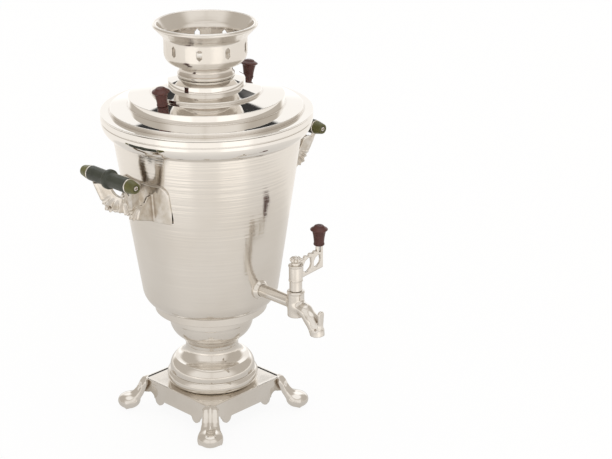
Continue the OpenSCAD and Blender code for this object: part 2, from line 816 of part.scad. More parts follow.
module tap_body() {
    color(cast_nickel) difference() {
        union() {
            along_tap(tap_wall_y - tank_wall - shank_in, barrel_at, shank_r);
            at_barrel() translate([0, 0, barrel_low_z]) cylinder(r = barrel_r, h = barrel_h);
            at_barrel() ring(plug_r + 1, barrel_r + 0.5, barrel_top_z - 2.4, 1.2);
            for (i = [0 : len(spout_line) - 2]) hull() {
                spout_ball(spout_line[i]);
                spout_ball(spout_line[i + 1]);
            }
            hull() {
                spout_ball(spout_line[len(spout_line) - 1]);
                at_outlet() cylinder(r = spout_end_r, h = mouth_h, $fn = 32);
            }
            tap_lug();
        }
        taper(plug_play, shoulder_z - cut, barrel_top_z + cut);
        at_barrel() translate([0, 0, barrel_low_z - cut])
            cylinder(r = washer_room, h = shoulder_z - barrel_low_z + cut);
        along_tap(0, barrel_at + spout_line[1][0], water_r);
        at_barrel() translate([0, -spout_line[1][0], tap_z]) rotate([90 + channel_fall, 0, 0]) {
            sphere(r = water_r);
            cylinder(r = water_r, h = channel_len);
        }
        at_outlet() translate([0, 0, -cut]) cylinder(r = outlet_r, h = outlet_depth + cut);
    }
}

// The upright thumb lug on the spout's nose
module tap_lug() {
    lug_w = 7.6;
    lug_t = 3;
    lug_h = 15;
    at_barrel() translate([0, lug_t / 2 - spout_reach - 6.5, tap_z - spout_drop + 1.2])
        rotate([90, 0, 0]) linear_extrude(lug_t) {
            polygon([[-0.32 * lug_w, 0], [0.32 * lug_w, 0], [lug_w / 2, lug_h],
                     [-lug_w / 2, lug_h]]);
            translate([0, lug_h]) circle(r = lug_w / 2);
        }
}

module tap_gasket() {
    color(rubber) intersection() {
        difference() {
            along_tap(tap_wall_y - tank_wall - gasket_t - 1.5, tap_wall_y, tap_nut_r - 0.5);
            along_tap(0, barrel_at, shank_r + 0.05);
        }
        tank_room(-tank_wall / cos(tank_taper));
    }
}

module tap_nut() {
    color(brass) translate([0, -(tap_wall_y - tank_wall - gasket_t - 1.5 - tap_nut_h), tap_z])
        rotate([90, 0, 0]) nut(tap_nut_r, tap_nut_h, shank_r + 0.05);
}

// ---- key ------------------------------------------------------------------

module key_plug() {
    color(cast_nickel) difference() {
        union() {
            taper(0, plug_end_z, barrel_top_z);
            at_barrel() {
                translate([0, 0, barrel_top_z - eps]) cylinder(r = plug_r - 0.2, h = lift_gap + 2 * eps);
                translate([0, 0, barrel_top_z + lift_gap]) cylinder(r = neck_r, h = key_neck_h);
                translate([0, 0, hub_z - eps]) cylinder(r = spigot_r, h = hub_h - 0.5);
                translate([0, 0, hub_top_z - 1]) cylinder(r = thread_r, h = rosette_h / 2);
            }
        }
        at_barrel() {
            translate([-barrel_r, 0, tap_z]) rotate([0, 90, 0]) cylinder(r = water_r, h = 2 * barrel_r);
            translate([0, 0, plug_end_z - cut]) cylinder(r = key_screw_r + 0.05, h = key_screw_len + cut);
        }
    }
}

module key_washer() {
    color(brass) at_barrel()
        ring(key_screw_r + washer_play, washer_room - 0.5, plug_end_z - washer_t, washer_t);
}

module key_screw() {
    color(brass) at_barrel() {
        translate([0, 0, plug_end_z - washer_t - key_screw_head]) difference() {
            cylinder(r = 2 * key_screw_r, h = key_screw_head);
            translate([-2 * key_screw_r, -screw_slot / 2, -cut])
                cube([4 * key_screw_r, screw_slot, cut + key_screw_head / 2]);
        }
        translate([0, 0, plug_end_z - washer_t - eps])
            cylinder(r = key_screw_r, h = key_screw_len);
    }
}

// The pierced branch: a bar, an upright post and stepped scrolls between them
module branch_outline() {
    post_w = 8.4;
    root = hub_r - 1.5;
    difference() {
        union() {
            polygon([[root, 0.6], [post_at + 0.55 * post_w, 0.13 * post_h],
                     [post_at + 0.55 * post_w, post_h], [post_at - 0.45 * post_w, post_h],
                     [post_at - 0.5 * post_w, 0.82 * post_h], [0.78 * post_at, 0.79 * post_h],
                     [0.68 * post_at, 0.82 * post_h], [0.6 * post_at, 0.77 * post_h],
                     [0.46 * post_at, 0.78 * post_h], [0.38 * post_at, 0.74 * post_h],
                     [root, 0.7 * post_h]]);
            for (p = [[0.8, 0.78], [0.6, 0.76], [0.4, 0.73]])
                translate([p[0] * post_at, p[1] * post_h]) circle(r = 2.2);
        }
        translate([0.3 * post_at, 0.2 * post_h]) leaf(0.34 * post_at, 0.48 * post_h);
        translate([0.75 * post_at, 0.26 * post_h]) leaf(0.28 * post_at, 0.39 * post_h);
    }
}

// A leaf-shaped hole of a width and a height, standing on its left corner
module leaf(w, h) {
    polygon([for (p = [[0, 0.15], [0, 0.55], [0.25, 0.85], [0.65, 1], [0.92, 0.92], [1, 0.5],
                       [0.88, 0.22], [0.55, 0.03], [0.25, 0]]) [p[0] * w, p[1] * h]]);
}

// A drop-shaped hole: a circle with its point upwards, stretched by a second circle
module drop(r) {
    circle(r = r);
    translate([0, r * 0.9]) circle(r = r * 0.86);
    translate([0, r * 0.9]) rotate(45) square(r * 1.25);
}

module key_branch() {
    color(cast_nickel) difference() {
        at_barrel() {
            ring(spigot_r + 0.05, hub_r, hub_z, hub_h);
            ring(spigot_r + 0.05, hub_r + 0.6, hub_top_z - 1.6, 1.6);
            ring(spigot_r + 0.05, hub_r + 0.4, hub_z, 1.2);
            difference() {
                translate([0, branch_t / 2, hub_z]) rotate([90, 0, 0])
                    linear_extrude(branch_t) branch_outline();
                translate([0, 0, hub_z - cut]) cylinder(r = hub_r - 1, h = hub_h + post_h);
            }
        }
        at_barrel() translate([post_at, 0, knob_seat_z - pin_in])
            cylinder(r = knob_screw_r + 0.05, h = pin_in + cut);
    }
}

module key_rosette() {
    petals = 8;
    petal_r = 2.1;
    color(cast_nickel) at_barrel() translate([0, 0, hub_top_z]) difference() {
        union() {
            cylinder(r = hub_r - 2.4, h = 0.75 * rosette_h);
            translate([0, 0, 0.7 * rosette_h]) sphere(r = 0.3 * rosette_h);
            for (i = [0 : petals - 1]) rotate([0, 0, 360 * i / petals])
                translate([hub_r - petal_r - 0.8, 0, 0.6 * rosette_h])
                    sphere(r = petal_r, $fn = 32);
        }
        translate([0, 0, -cut]) cylinder(r = thread_r + 0.05, h = rosette_h / 2 + cut);
    }
}

// A turned knob of a height on its seat, with the bore for its screw from below
module knob(h) {
    neck = knob_neck_r;
    rim = knob_brim_r;
    brim_z = 0.76 * h;
    difference() {
        rotate_extrude() polygon([
            [0, 0], [neck - 0.6, 0], [neck, 0.6], [neck, 2], [neck - 0.4, 2.6],
            [neck - 0.1, 0.3 * h], [neck + 0.5, 0.5 * h], [neck + 1.4, 0.7 * h],
            [rim, brim_z], [rim, brim_z + 0.9], [rim - 1, brim_z + 1.6], [0.62 * rim, 0.91 * h],
            [0.52 * rim, 0.97 * h], [0.3 * rim, h], [0, h]]);
        translate([0, 0, -cut]) cylinder(r = knob_screw_r + 0.05, h = knob_screw_in + 0.5 + cut);
    }
}

module key_knob() {
    color(brown_plastic) at_barrel() translate([post_at, 0, knob_seat_z]) knob(key_knob_h);
}

module key_pin() {
    color(steel) at_barrel() translate([post_at, 0, knob_seat_z - pin_in + 0.5])
        cylinder(r = knob_screw_r, h = pin_in + knob_screw_in - 0.5);
}

// ---- handles --------------------------------------------------------------

// Mirrors children to the left or the right side
module on_side(side) {
    mirror([side < 0 ? 1 : 0, 0, 0]) children();
}

// The flange's face: a plate with round upper corners
module flange_outline() {
    corner = 9;
    low_z = flange_top_z - flange_h;
    translate([-flange_half_w, low_z]) square([2 * flange_half_w, flange_h - corner]);
    translate([corner - flange_half_w, low_z]) square([2 * (flange_half_w - corner), flange_h]);
    for (side = [-1, 1]) translate([side * (flange_half_w - corner), flange_top_z - corner])
        circle(r = corner);
}

// A ball on one corner of the bracket's walls
module wall_ball(p) {
    translate(p) sphere(r = bracket_wall / 2, $fn = 16);
}

// A wall stretched over its corners
module wall(corners) {
    hull() for (p = corners) wall_ball(p);
}

// The scalloped shell: flutes that fan out below the notch
module shell_flutes() {
    lean = atan2(ear_top[0] - toe[0], ear_top[2] - toe[2]);
    translate([0.5 * (ear_top[0] + toe[0]), 0, 0.5 * (ear_top[2] + toe[2])]) rotate([0, lean, 0])
        for (i = [0 : flute_count - 1]) rotate([180 + flute_fan * (i / (flute_count - 1) - 0.5), 0, 0])
            rotate_extrude($fn = 12) polygon(concat(
                [[0, flute_from], [0.4 * flute_r, flute_from]],
                [for (a = [0 : 30 : 90]) [flute_r * cos(a), flute_from + flute_len + flute_r * sin(a)]]));
}

module bracket() {
    flip = [for (p = [ear_top, toe, root_top, root_low]) [p[0], -p[1], p[2]]];
    color(cast_nickel) difference() {
        union() {
            intersection() {
                difference() {
                    tank_room(flange_t / cos(tank_taper));
                    tank_room(0);
                }
                rotate([90, 0, 90]) linear_extrude(grip_at) flange_outline();
            }
            difference() {
                union() {
                    wall([ear_top, toe, root_top, root_low]);
                    wall(flip);
                    wall([ear_top, toe, flip[0], flip[1]]);
                    shell_flutes();
                }
                tank_room(0.5 * flange_t);
                translate([toe[0] - 2 * bracket_wall, 0, notch_z]) rotate([0, 90, 0])
                    cylinder(r = notch_r, h = grip_half);
                translate([toe[0] - 2 * bracket_wall, -notch_r, notch_z])
                    cube([grip_half, 2 * notch_r, grip_half]);
                translate([hole_at, flange_half_w, hole_z]) rotate([90, 0, 0])
                    linear_extrude(2 * flange_half_w) drop(hole_r);
            }
            for (side = [-1, 1]) translate([grip_at, side * (ear_y + ear_t / 2), grip_z])
                rotate([90, 0, 0]) cylinder(r = ear_r, h = ear_t, center = true);
            for (turn = [-stud_turn, stud_turn]) on_wall(turn, stud_z) rotate([0, -90, 0])
                translate([0, 0, -flange_t / 2]) cylinder(r = stud_r, h = stud_len + flange_t / 2);
        }
        translate([grip_at, 0, grip_z]) rotate([90, 0, 0]) {
            cylinder(r = rod_r + 0.1, h = 2 * grip_half, center = true);
            cylinder(r = grip_bead_r + 1, h = 2 * ear_y, center = true);
        }
    }
}

module bracket_nuts() {
    color(brass) for (turn = [-stud_turn, stud_turn]) on_wall(turn, stud_z)
        translate([-tank_wall - 0.15, 0, 0]) rotate([0, -90, 0]) nut(nut_r, nut_h, stud_r + 0.05);
}

// Places children on a grip's axis, +Z towards the rear
module on_grip() {
    translate([grip_at, 0, grip_z]) rotate([-90, 0, 0]) children();
}

module grip() {
    bead_w = 2.6;
    color(green_plastic) on_grip() difference() {
        rotate_extrude() polygon([
            [rod_r + 0.1, -ear_y], [grip_r - 0.5, -ear_y], [grip_r, 0.5 - ear_y],
            [grip_r - 0.2, -bead_w - 4], [grip_r, -bead_w - 1.2], [grip_bead_r - 0.8, -bead_w],
            [grip_bead_r, -0.6 * bead_w], [grip_bead_r, 0.6 * bead_w],
            [grip_bead_r - 0.8, bead_w], [grip_r, bead_w + 1.2], [grip_r - 0.2, bead_w + 4],
            [grip_r, ear_y - 0.5], [grip_r - 0.5, ear_y], [rod_r + 0.1, ear_y]]);
    }
}

module grip_rod() {
    color(steel) on_grip() difference() {
        cylinder(r = rod_r, h = 2 * rod_half, center = true);
        for (side = [-1, 1]) translate([0, 0, side * rod_half])
            cylinder(r = cap_screw_r + 0.05, h = 2 * cap_screw_in + 1, center = true);
    }
}

// An end cap; end is -1 for the front cap and 1 for the rear cap
module end_cap(end) {
    color(olive_plastic) on_grip() mirror([0, 0, end < 0 ? 1 : 0]) difference() {
        rotate_extrude() polygon([
            [0, cap_foot], [ear_r - 0.6, cap_foot], [ear_r - 0.2, cap_foot + 0.5],
            [ear_r - 0.5, cap_foot + 2.5], [cap_tip_r, grip_half - 1.2],
            [cap_tip_r - 0.5, grip_half], [0, grip_half]]);
        translate([0, 0, cap_foot - cut]) cylinder(r = rod_r + 0.1, h = rod_half - cap_foot + 0.3 + cut);
        cylinder(r = cap_screw_r + 0.1, h = grip_half + cut);
        translate([0, 0, grip_half - head_sunk]) cylinder(r = cap_head_r + 0.1, h = head_sunk + cut);
    }
}

module cap_screws() {
    slot = 0.6;
    color(steel) on_grip() for (end = [0, 1]) mirror([0, 0, end]) {
        translate([0, 0, rod_half - cap_screw_in])
            cylinder(r = cap_screw_r, h = cap_screw_in + grip_half - head_sunk - rod_half + eps);
        translate([0, 0, grip_half - head_sunk]) difference() {
            cylinder(r = cap_head_r, h = head_sunk);
            for (turn = [0, 90]) rotate([0, 0, turn]) translate([-0.7 * cap_head_r, -slot / 2, 0.4])
                cube([1.4 * cap_head_r, slot, head_sunk]);
        }
    }
}

// ---- lid and crown --------------------------------------------------------

// Places children on the lid's tread at one end of the knob line, square to the tread
module on_lid(side) {
    rotate([0, 0, lid_turn + (side < 0 ? 180 : 0)]) translate([lid_knob_at, 0, tread_z(lid_knob_at)])
        rotate([0, tread_slope, 0]) children();
}

module lid() {
    collar_top = lid_flat_z + lid_collar_h;
    color(bright_nickel) difference() {
        union() {
            spun([[lid_rim_r - 1, lid_top_z], [step_1_r, lid_top_z], [step_1_r, step_1_top],
                  [step_2_r, step_2_foot], [step_2_r, step_2_top],
                  [step_3_r, step_3_foot], [step_3_r, step_3_top],
                  [step_4_r, step_4_foot], [step_4_r, step_4_top],
                  [lid_flat_r, lid_flat_z], [lid_collar_r, lid_flat_z],
                  [lid_collar_r, collar_top], [0, collar_top]], lid_wall);
            ring(lid_rim_r - 3, lid_rim_r, lid_z, lid_rim_h);
            ring(lid_skirt_r - lid_wall, lid_skirt_r, mouth_z - lid_skirt_h,
                 lid_skirt_h + step_1_top - mouth_z - lid_wall / 2);
        }
        for (side = [-1, 1]) on_lid(side)
            cylinder(r = knob_screw_r + 0.3, h = 4 * lid_wall, center = true);
    }
}

module lid_knob(side) {
    color(brown_plastic) on_lid(side) translate([0, 0, knob_play]) knob(knob_h);
}

module lid_washers() {
    color(steel) for (side = [-1, 1]) on_lid(side)
        ring(knob_screw_r + washer_play, washer_r, -lid_wall - washer_play - washer_t, washer_t);
}

module lid_screws() {
    under = lid_wall + washer_play + washer_t;
    color(steel) for (side = [-1, 1]) on_lid(side) {
        translate([0, 0, -under - screw_head_h]) difference() {
            cylinder(r = screw_head_r, h = screw_head_h);
            translate([-screw_head_r, -screw_slot / 2, -cut])
                cube([2 * screw_head_r, screw_slot, cut + screw_slot]);
        }
        translate([0, 0, -under - eps])
            cylinder(r = knob_screw_r, h = under + knob_screw_in);
    }
}

// A slot with pointed ends, upright
module slot_outline() {
    w = slot_w / 2;
    h = slot_h / 2;
    polygon([[0, -h], [w, w - h], [w, h - w], [0, h], [-w, h - w], [-w, w - h]]);
}

module crown() {
    drum_z = crown_z + crown_bowl_z;
    flare_z = drum_z + drum_h;
    foot_band = 1.8;
    waist_z = crown_z + 8;
    bowl_r = 12;
    bowl_turn = 72;
    flare_r = 8;
    flare_turn = 45;
    cove_r = 7;
    lip_z = crown_z + crown_h - lip_roll;
    color(satin_nickel) difference() {
        union() {
            spun(concat([[crown_foot_r, crown_z], [crown_foot_r, crown_z + foot_band]],
                        arc(crown_waist_r + cove_r, waist_z, cove_r, 228, 150),
                        arc(drum_r - bowl_r, drum_z, bowl_r, -bowl_turn, 0),
                        arc(drum_r + flare_r, flare_z, flare_r, 180, 180 - flare_turn),
                        [[lip_r - lip_roll, lip_z - lip_roll]]), crown_wall);
            rotate_extrude() translate([lip_r - lip_roll, lip_z]) circle(r = lip_roll);
        }
        for (i = [0 : slot_count - 1]) rotate([0, 0, slot_turn - 90 + 360 * i / slot_count])
            translate([drum_r - 4 * crown_wall, 0, drum_z + drum_h / 2]) rotate([90, 0, 90])
                linear_extrude(8 * crown_wall) slot_outline();
    }
}

base();
foot_ring();
pedestal_bell();
neck_cup();
drip_ring();
tank();
brim();
tie_bolt();
tie_washer();
tie_boss();
heater_element();
heater_seals();
heater_nuts();
inlet_collar();
inlet_pins();
lead_wires();
tap_rose();
tap_body();
tap_gasket();
tap_nut();
key_plug();
key_washer();
key_screw();
key_branch();
key_rosette();
key_knob();
key_pin();
on_side(-1) bracket();  // bracket_left
on_side(1) bracket();  // bracket_right
on_side(-1) bracket_nuts();  // bracket_nuts_left
on_side(1) bracket_nuts();  // bracket_nuts_right
on_side(-1) grip();  // grip_left
on_side(1) grip();  // grip_right
on_side(-1) grip_rod();  // grip_rod_left
on_side(1) grip_rod();  // grip_rod_right
on_side(-1) end_cap(-1);  // cap_left_front
on_side(-1) end_cap(1);  // cap_left_rear
on_side(1) end_cap(-1);  // cap_right_front
on_side(1) end_cap(1);  // cap_right_rear
on_side(-1) cap_screws();  // cap_screws_left
on_side(1) cap_screws();  // cap_screws_right
lid();
lid_knob(-1);  // lid_knob_left
lid_knob(1);  // lid_knob_right
lid_washers();
lid_screws();
crown();
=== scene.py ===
"""Looks of the samovar: plated sheet and castings, brown and green mouldings, a white studio.

Lengths in this file are millimetres in the row frame until mesh() puts them into metres.
The axis is upright through the origin, the tap points along -Y, the handles along +X and -X.
"""

import json
import math

import bpy
import numpy as np
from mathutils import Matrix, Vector


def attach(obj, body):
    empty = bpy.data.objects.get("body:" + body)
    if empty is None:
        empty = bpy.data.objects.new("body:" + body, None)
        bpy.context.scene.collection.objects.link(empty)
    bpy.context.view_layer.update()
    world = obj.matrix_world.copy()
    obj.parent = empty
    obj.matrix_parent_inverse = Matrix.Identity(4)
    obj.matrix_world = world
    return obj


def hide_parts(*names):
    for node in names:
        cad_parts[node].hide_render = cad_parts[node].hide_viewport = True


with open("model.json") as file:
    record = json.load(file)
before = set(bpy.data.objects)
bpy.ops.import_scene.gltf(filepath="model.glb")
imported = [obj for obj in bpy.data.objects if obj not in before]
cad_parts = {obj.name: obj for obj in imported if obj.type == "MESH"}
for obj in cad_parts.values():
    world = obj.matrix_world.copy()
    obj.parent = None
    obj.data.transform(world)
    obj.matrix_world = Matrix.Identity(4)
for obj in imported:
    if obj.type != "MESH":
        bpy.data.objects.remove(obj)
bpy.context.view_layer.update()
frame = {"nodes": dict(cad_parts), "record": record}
MM = 0.001
UP = np.array([0.0, 0.0, 1.0])

# Heights of the stack, from the table up
BASE_TOP = 35.0
BELL_FOOT = 47.9
CUP_FOOT = 77.0
DRIP_FOOT = 113.0
TANK_FOOT = 124.3
MOUTH = 331.5
LID_FOOT = 331.8
CROWN_FOOT = 367.5

# The tank: its wall's slope, the rounding at its foot, and the height and radius where they meet
TAPER = math.radians(8.41)
TANK_ROUND = 20.0
TANK_TAN_Z = TANK_FOOT + TANK_ROUND * (1 - math.sin(TAPER))
TANK_TAN_R = 70.4

# Thickness of the spun sheet, and of the lid's
SPUN_WALL = 1.2
LID_WALL = 1.0

# The grips' axis, and the bore through them, their caps and the brackets' ears
GRIP_AT, GRIP_Z = 128.0, 290.0
GRIP_BORE = 2.6

# The tap: its barrel's axis, the height of its shank's, the lean of its outlet
BARREL_Y = -124.0
TAP_Z = 157.5
OUTLET_LEAN = math.radians(-6)

# The key: the height of its branch, that of the post over it, and how far out the post stands
KEY_FOOT = 182.2
KEY_TOP = 28.4
POST_X = 33.0


def tank_r(z):
    """Radius of the tank's wall at a height."""
    return TANK_TAN_R + (z - TANK_TAN_Z) * math.tan(TAPER)


def add_node(tree, kind, inputs=None, **settings):
    """A shader node with its settings; an input is a socket to link or a value to hold."""
    made = tree.nodes.new(kind)
    for key, value in settings.items():
        setattr(made, key, value)
    for key, value in (inputs or {}).items():
        if isinstance(value, bpy.types.NodeSocket):
            tree.links.new(value, made.inputs[key])
        else:
            made.inputs[key].default_value = value
    return made


# ---- meshes ---------------------------------------------------------------


def mesh(name, points, faces, material, body, nodes, slot):
    """Puts points (in millimetres) and faces into a piece that rides a body for its nodes."""
    data = bpy.data.meshes.new(name)
    points = np.asarray(points, float) * MM
    faces = np.asarray(faces)
    count, sides = faces.shape
    data.vertices.add(len(points))
    data.vertices.foreach_set("co", points.astype(np.float32).ravel())
    data.loops.add(count * sides)
    data.loops.foreach_set("vertex_index", faces.astype(np.int32).ravel())
    data.polygons.add(count)
    data.polygons.foreach_set("loop_start", np.arange(0, count * sides, sides, dtype=np.int32))
    data.polygons.foreach_set("use_smooth", np.full(count, True))
    data.update()
    data.validate()
    piece = bpy.data.objects.new(name, data)
    bpy.context.scene.collection.objects.link(piece)
    data.materials.append(material)
    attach(piece, body)
    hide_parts(*nodes)
    return piece


def joined(*parts):
    """One set of points and four-sided faces out of several."""
    points, faces, shift = [], [], 0
    for p, f in parts:
        points.append(p)
        faces.append(f + shift)
        shift += len(p)
    return np.concatenate(points), np.concatenate(faces)


def arc(r, z, radius, start, end, steps=10):
    """Points of an arc round (r, z), from one angle to another in degrees."""
    a = np.radians(np.linspace(start, end, steps + 1))
    return np.column_stack([r + radius * np.cos(a), z + radius * np.sin(a)])


def line(*rows):
    """Points of a profile, written out."""
    return np.array(rows, float)


def walled(profile, wall):
    """The closed outline of a sheet: the profile, then the line a wall's thickness to its left.

    Each inner point lies along the mitre of its two edges' left normals.
    """
    step = np.diff(profile, axis=0)
    step /= np.linalg.norm(step, axis=1)[:, None]
    left = np.column_stack([-step[:, 1], step[:, 0]])
    before = np.vstack([left[:1], left])
    after = np.vstack([left, left[-1:]])
    mitre = (before + after) / (1 + (before * after).sum(1))[:, None]
    return np.vstack([profile, (profile + wall * mitre)[::-1]])


def soft(profile, reach, closed):
    """Rounds every corner of a profile by a parabola that leaves each edge at most reach from it.

    The parabola at parameter t is the weighted mean of the corner and the two leaving points.
    A point further out on each edge keeps flat faces flat.
    """
    before = np.roll(profile, 1, axis=0) - profile
    after = np.roll(profile, -1, axis=0) - profile
    size_b = np.linalg.norm(before, axis=1)
    size_a = np.linalg.norm(after, axis=1)
    leave = np.minimum(reach, 0.36 * np.minimum(size_b, size_a))[:, None]
    unit_b = before / size_b[:, None]
    unit_a = after / size_a[:, None]
    t = np.linspace(0, 1, 5)[None, :, None]
    p0 = (profile + leave * unit_b)[:, None]
    p1 = profile[:, None]
    p2 = (profile + leave * unit_a)[:, None]
    bend = (1 - t) ** 2 * p0 + 2 * t * (1 - t) * p1 + t ** 2 * p2
    outer = 1.3 * leave
    stack = np.concatenate([(profile + outer * unit_b)[:, None], bend,
                            (profile + outer * unit_a)[:, None]], axis=1)
    if closed:
        return stack.reshape(-1, 2)
    return np.vstack([profile[:1], stack[1:-1].reshape(-1, 2), profile[-1:]])


def ring_faces(rows, around, closed=False):
    """Faces between the rings of a turned surface; closed joins the last ring to the first."""
    i = np.arange(rows if closed else rows - 1)[:, None]
    j = np.arange(around)[None]
    up, on = (i + 1) % rows, (j + 1) % around
    return np.stack([i * around + j, i * around + on, up * around + on, up * around + j],
                    axis=2).reshape(-1, 4)


def turned(profile, around=160, start=0.0, loop=None):
    """A surface of revolution round Z: at angle a, a point (r, z) goes to (r cos a, r sin a, z).

    The angles begin at start. A profile that starts on the axis is left open there, and any
    other is closed into a loop, unless loop says which.
    """
    a = start + np.linspace(0, 2 * math.pi, around, endpoint=False)
    r, z = profile[:, 0], profile[:, 1]
    points = np.stack([np.outer(r, np.cos(a)), np.outer(r, np.sin(a)),
                       np.repeat(z[:, None], around, 1)], axis=2)
    closed = r[0] > 1e-6 if loop is None else loop
    return points.reshape(-1, 3), ring_faces(len(profile), around, closed)


def set_at(shape, origin, axis, turn=0.0):
    """Turns a shape's Z onto an axis, after a turn about it, and moves it to an origin."""
    points, faces = shape
    z = np.array(axis, float)
    z /= np.linalg.norm(z)
    side = np.array([1.0, 0, 0]) if abs(z[0]) < 0.9 else np.array([0, 1.0, 0])
    y = np.cross(z, side)
    y /= np.linalg.norm(y)
    x = np.cross(y, z)
    c, s = math.cos(turn), math.sin(turn)
    frame_axes = np.column_stack([c * x + s * y, c * y - s * x, z])
    return points @ frame_axes.T + np.array(origin, float), faces


def mirrored(shape):
    """The shape's image in the plane X = 0, with its faces turned to point outwards again."""
    points, faces = shape
    return points * np.array([-1.0, 1, 1]), faces[:, ::-1]


# ---- cast forms: a surface where a field of distances is zero ---------------


def blend(a, b, k):
    """The nearer of two distances, with the crease between them filled over a width k."""
    h = np.clip(0.5 + 0.5 * (b - a) / k, 0, 1)
    return b + (a - b) * h - k * h * (1 - h)


def carve(a, b, k):
    """Distance a with form b cut out of it, the edge eased over a width k."""
    return -blend(-a, b, k)


def both(a, b, k):
    """Distance to what two forms share, the edge eased over a width k."""
    return -blend(-a, -b, k)


def rod(p, a, b, ra, rb):
    """Distance to a rod with round ends from a to b whose radius goes from ra to rb."""
    a, b = np.array(a, float), np.array(b, float)
    run = b - a
    t = np.clip((p - a) @ run / (run @ run), 0, 1)
    return np.linalg.norm(p - a - t[..., None] * run, axis=-1) - ra - (rb - ra) * t


def pillar(p, origin, axis, radius, half):
    """Distance to a cylinder about an axis through origin, half its length to each side."""
    q = p - np.array(origin, float)
    axis = np.array(axis, float)
    axis /= np.linalg.norm(axis)
    h = q @ axis
    r = np.sqrt(np.maximum((q * q).sum(-1) - h * h, 0))
    return np.maximum(r - radius, np.abs(h) - half)


def outline(x, y, corners):
    """Distance in a plane to a polygon, negative inside: nearest edge, signed by crossings."""
    corners = np.array(corners, float)
    near = np.full(x.shape, 1e9)
    inside = np.zeros(x.shape, bool)
    for a, b in zip(corners, np.roll(corners, -1, axis=0)):
        e = b - a
        t = np.clip(((x - a[0]) * e[0] + (y - a[1]) * e[1]) / (e @ e), 0, 1)
        near = np.minimum(near, np.hypot(x - a[0] - t * e[0], y - a[1] - t * e[1]))
        if e[1]:
            crosses = (a[1] > y) != (b[1] > y)
            inside ^= crosses & (x < a[0] + (y - a[1]) * e[0] / e[1])
    return np.where(inside, -near, near)


def sheet(p, a, b, c):
    """Distance to the flat triangle a, b, c: to its plane above it, else to its nearest edge."""
    a, b, c = (np.array(v, float) for v in (a, b, c))
    n = np.cross(b - a, c - a)
    near = np.full(p.shape[:-1], 1e9)
    over = np.ones(p.shape[:-1], bool)
    for s, e in ((a, b), (b, c), (c, a)):
        run = e - s
        q = p - s
        t = np.clip(q @ run / (run @ run), 0, 1)
        near = np.minimum(near, np.linalg.norm(q - t[..., None] * run, axis=-1))
        over &= q @ np.cross(n, run) > 0
    return np.where(over, np.abs((p - a) @ (n / np.linalg.norm(n))), near)


def cast(field, low, high, cell):
    """The surface where field(points) is zero, on a grid of cells between two corners.

    Each cell that the surface passes gets one point, the mean of where its twelve edges cross
    zero. Each grid edge with a change of sign gets the face of its four cells. The points then
    step along the field's slope until they lie on the surface.
    """
    low = np.array(low, float)
    size = np.ceil((np.array(high, float) - low) / cell).astype(int) + 1
    axes = [low[i] + cell * np.arange(size[i]) for i in range(3)]
    grid = np.stack(np.meshgrid(*axes, indexing="ij"), axis=-1)
    value = field(grid)
    sign = value < 0
    cells = size - 1
    total = np.zeros(tuple(cells) + (3,))
    hits = np.zeros(tuple(cells))
    crossed = []
    for axis in range(3):
        first = [slice(None)] * 3
        second = [slice(None)] * 3
        first[axis] = slice(0, -1)
        second[axis] = slice(1, None)
        v0, v1 = value[tuple(first)], value[tuple(second)]
        change = sign[tuple(first)] != sign[tuple(second)]
        t = np.where(change, v0 / np.where(change, v0 - v1, 1), 0)
        place = grid[tuple(first)].copy()
        place[..., axis] += t * cell
        place *= change[..., None]
        others = [i for i in range(3) if i != axis]
        for du in (0, 1):
            for dv in (0, 1):
                cut = [slice(None)] * 3
                cut[others[0]] = slice(du, du + cells[others[0]])
                cut[others[1]] = slice(dv, dv + cells[others[1]])
                total += place[tuple(cut)]
                hits += change[tuple(cut)]
        crossed.append((axis, others, change, sign[tuple(first)]))
    used = hits > 0
    index = np.full(tuple(cells), -1)
    index[used] = np.arange(used.sum())
    points = total[used] / hits[used][:, None]
    faces = []
    for axis, (u, v), change, inside in crossed:
        at = np.argwhere(change)
        at = at[(at[:, u] > 0) & (at[:, v] > 0) & (at[:, u] < cells[u]) & (at[:, v] < cells[v])]
        if not len(at):
            continue
        corner = []
        for du, dv in ((1, 1), (0, 1), (0, 0), (1, 0)):
            c = at.copy()
            c[:, u] -= du
            c[:, v] -= dv
            corner.append(index[tuple(c.T)])
        face = np.column_stack(corner)
        flip = inside[tuple(at.T)] != (axis != 1)
        face[flip] = face[flip][:, ::-1]
        faces.append(face)
    nudge = 0.02
    for _ in range(4):
        here = field(points)
        slope = np.stack([(field(points + nudge * e) - field(points - nudge * e)) / (2 * nudge)
                          for e in np.eye(3)], axis=1)
        step = here[:, None] * slope / np.maximum((slope ** 2).sum(1), 0.2)[:, None]
        points = points - np.clip(step, -0.5 * cell, 0.5 * cell)
    return points, np.concatenate(faces)


# ---- finishes ---------------------------------------------------------------


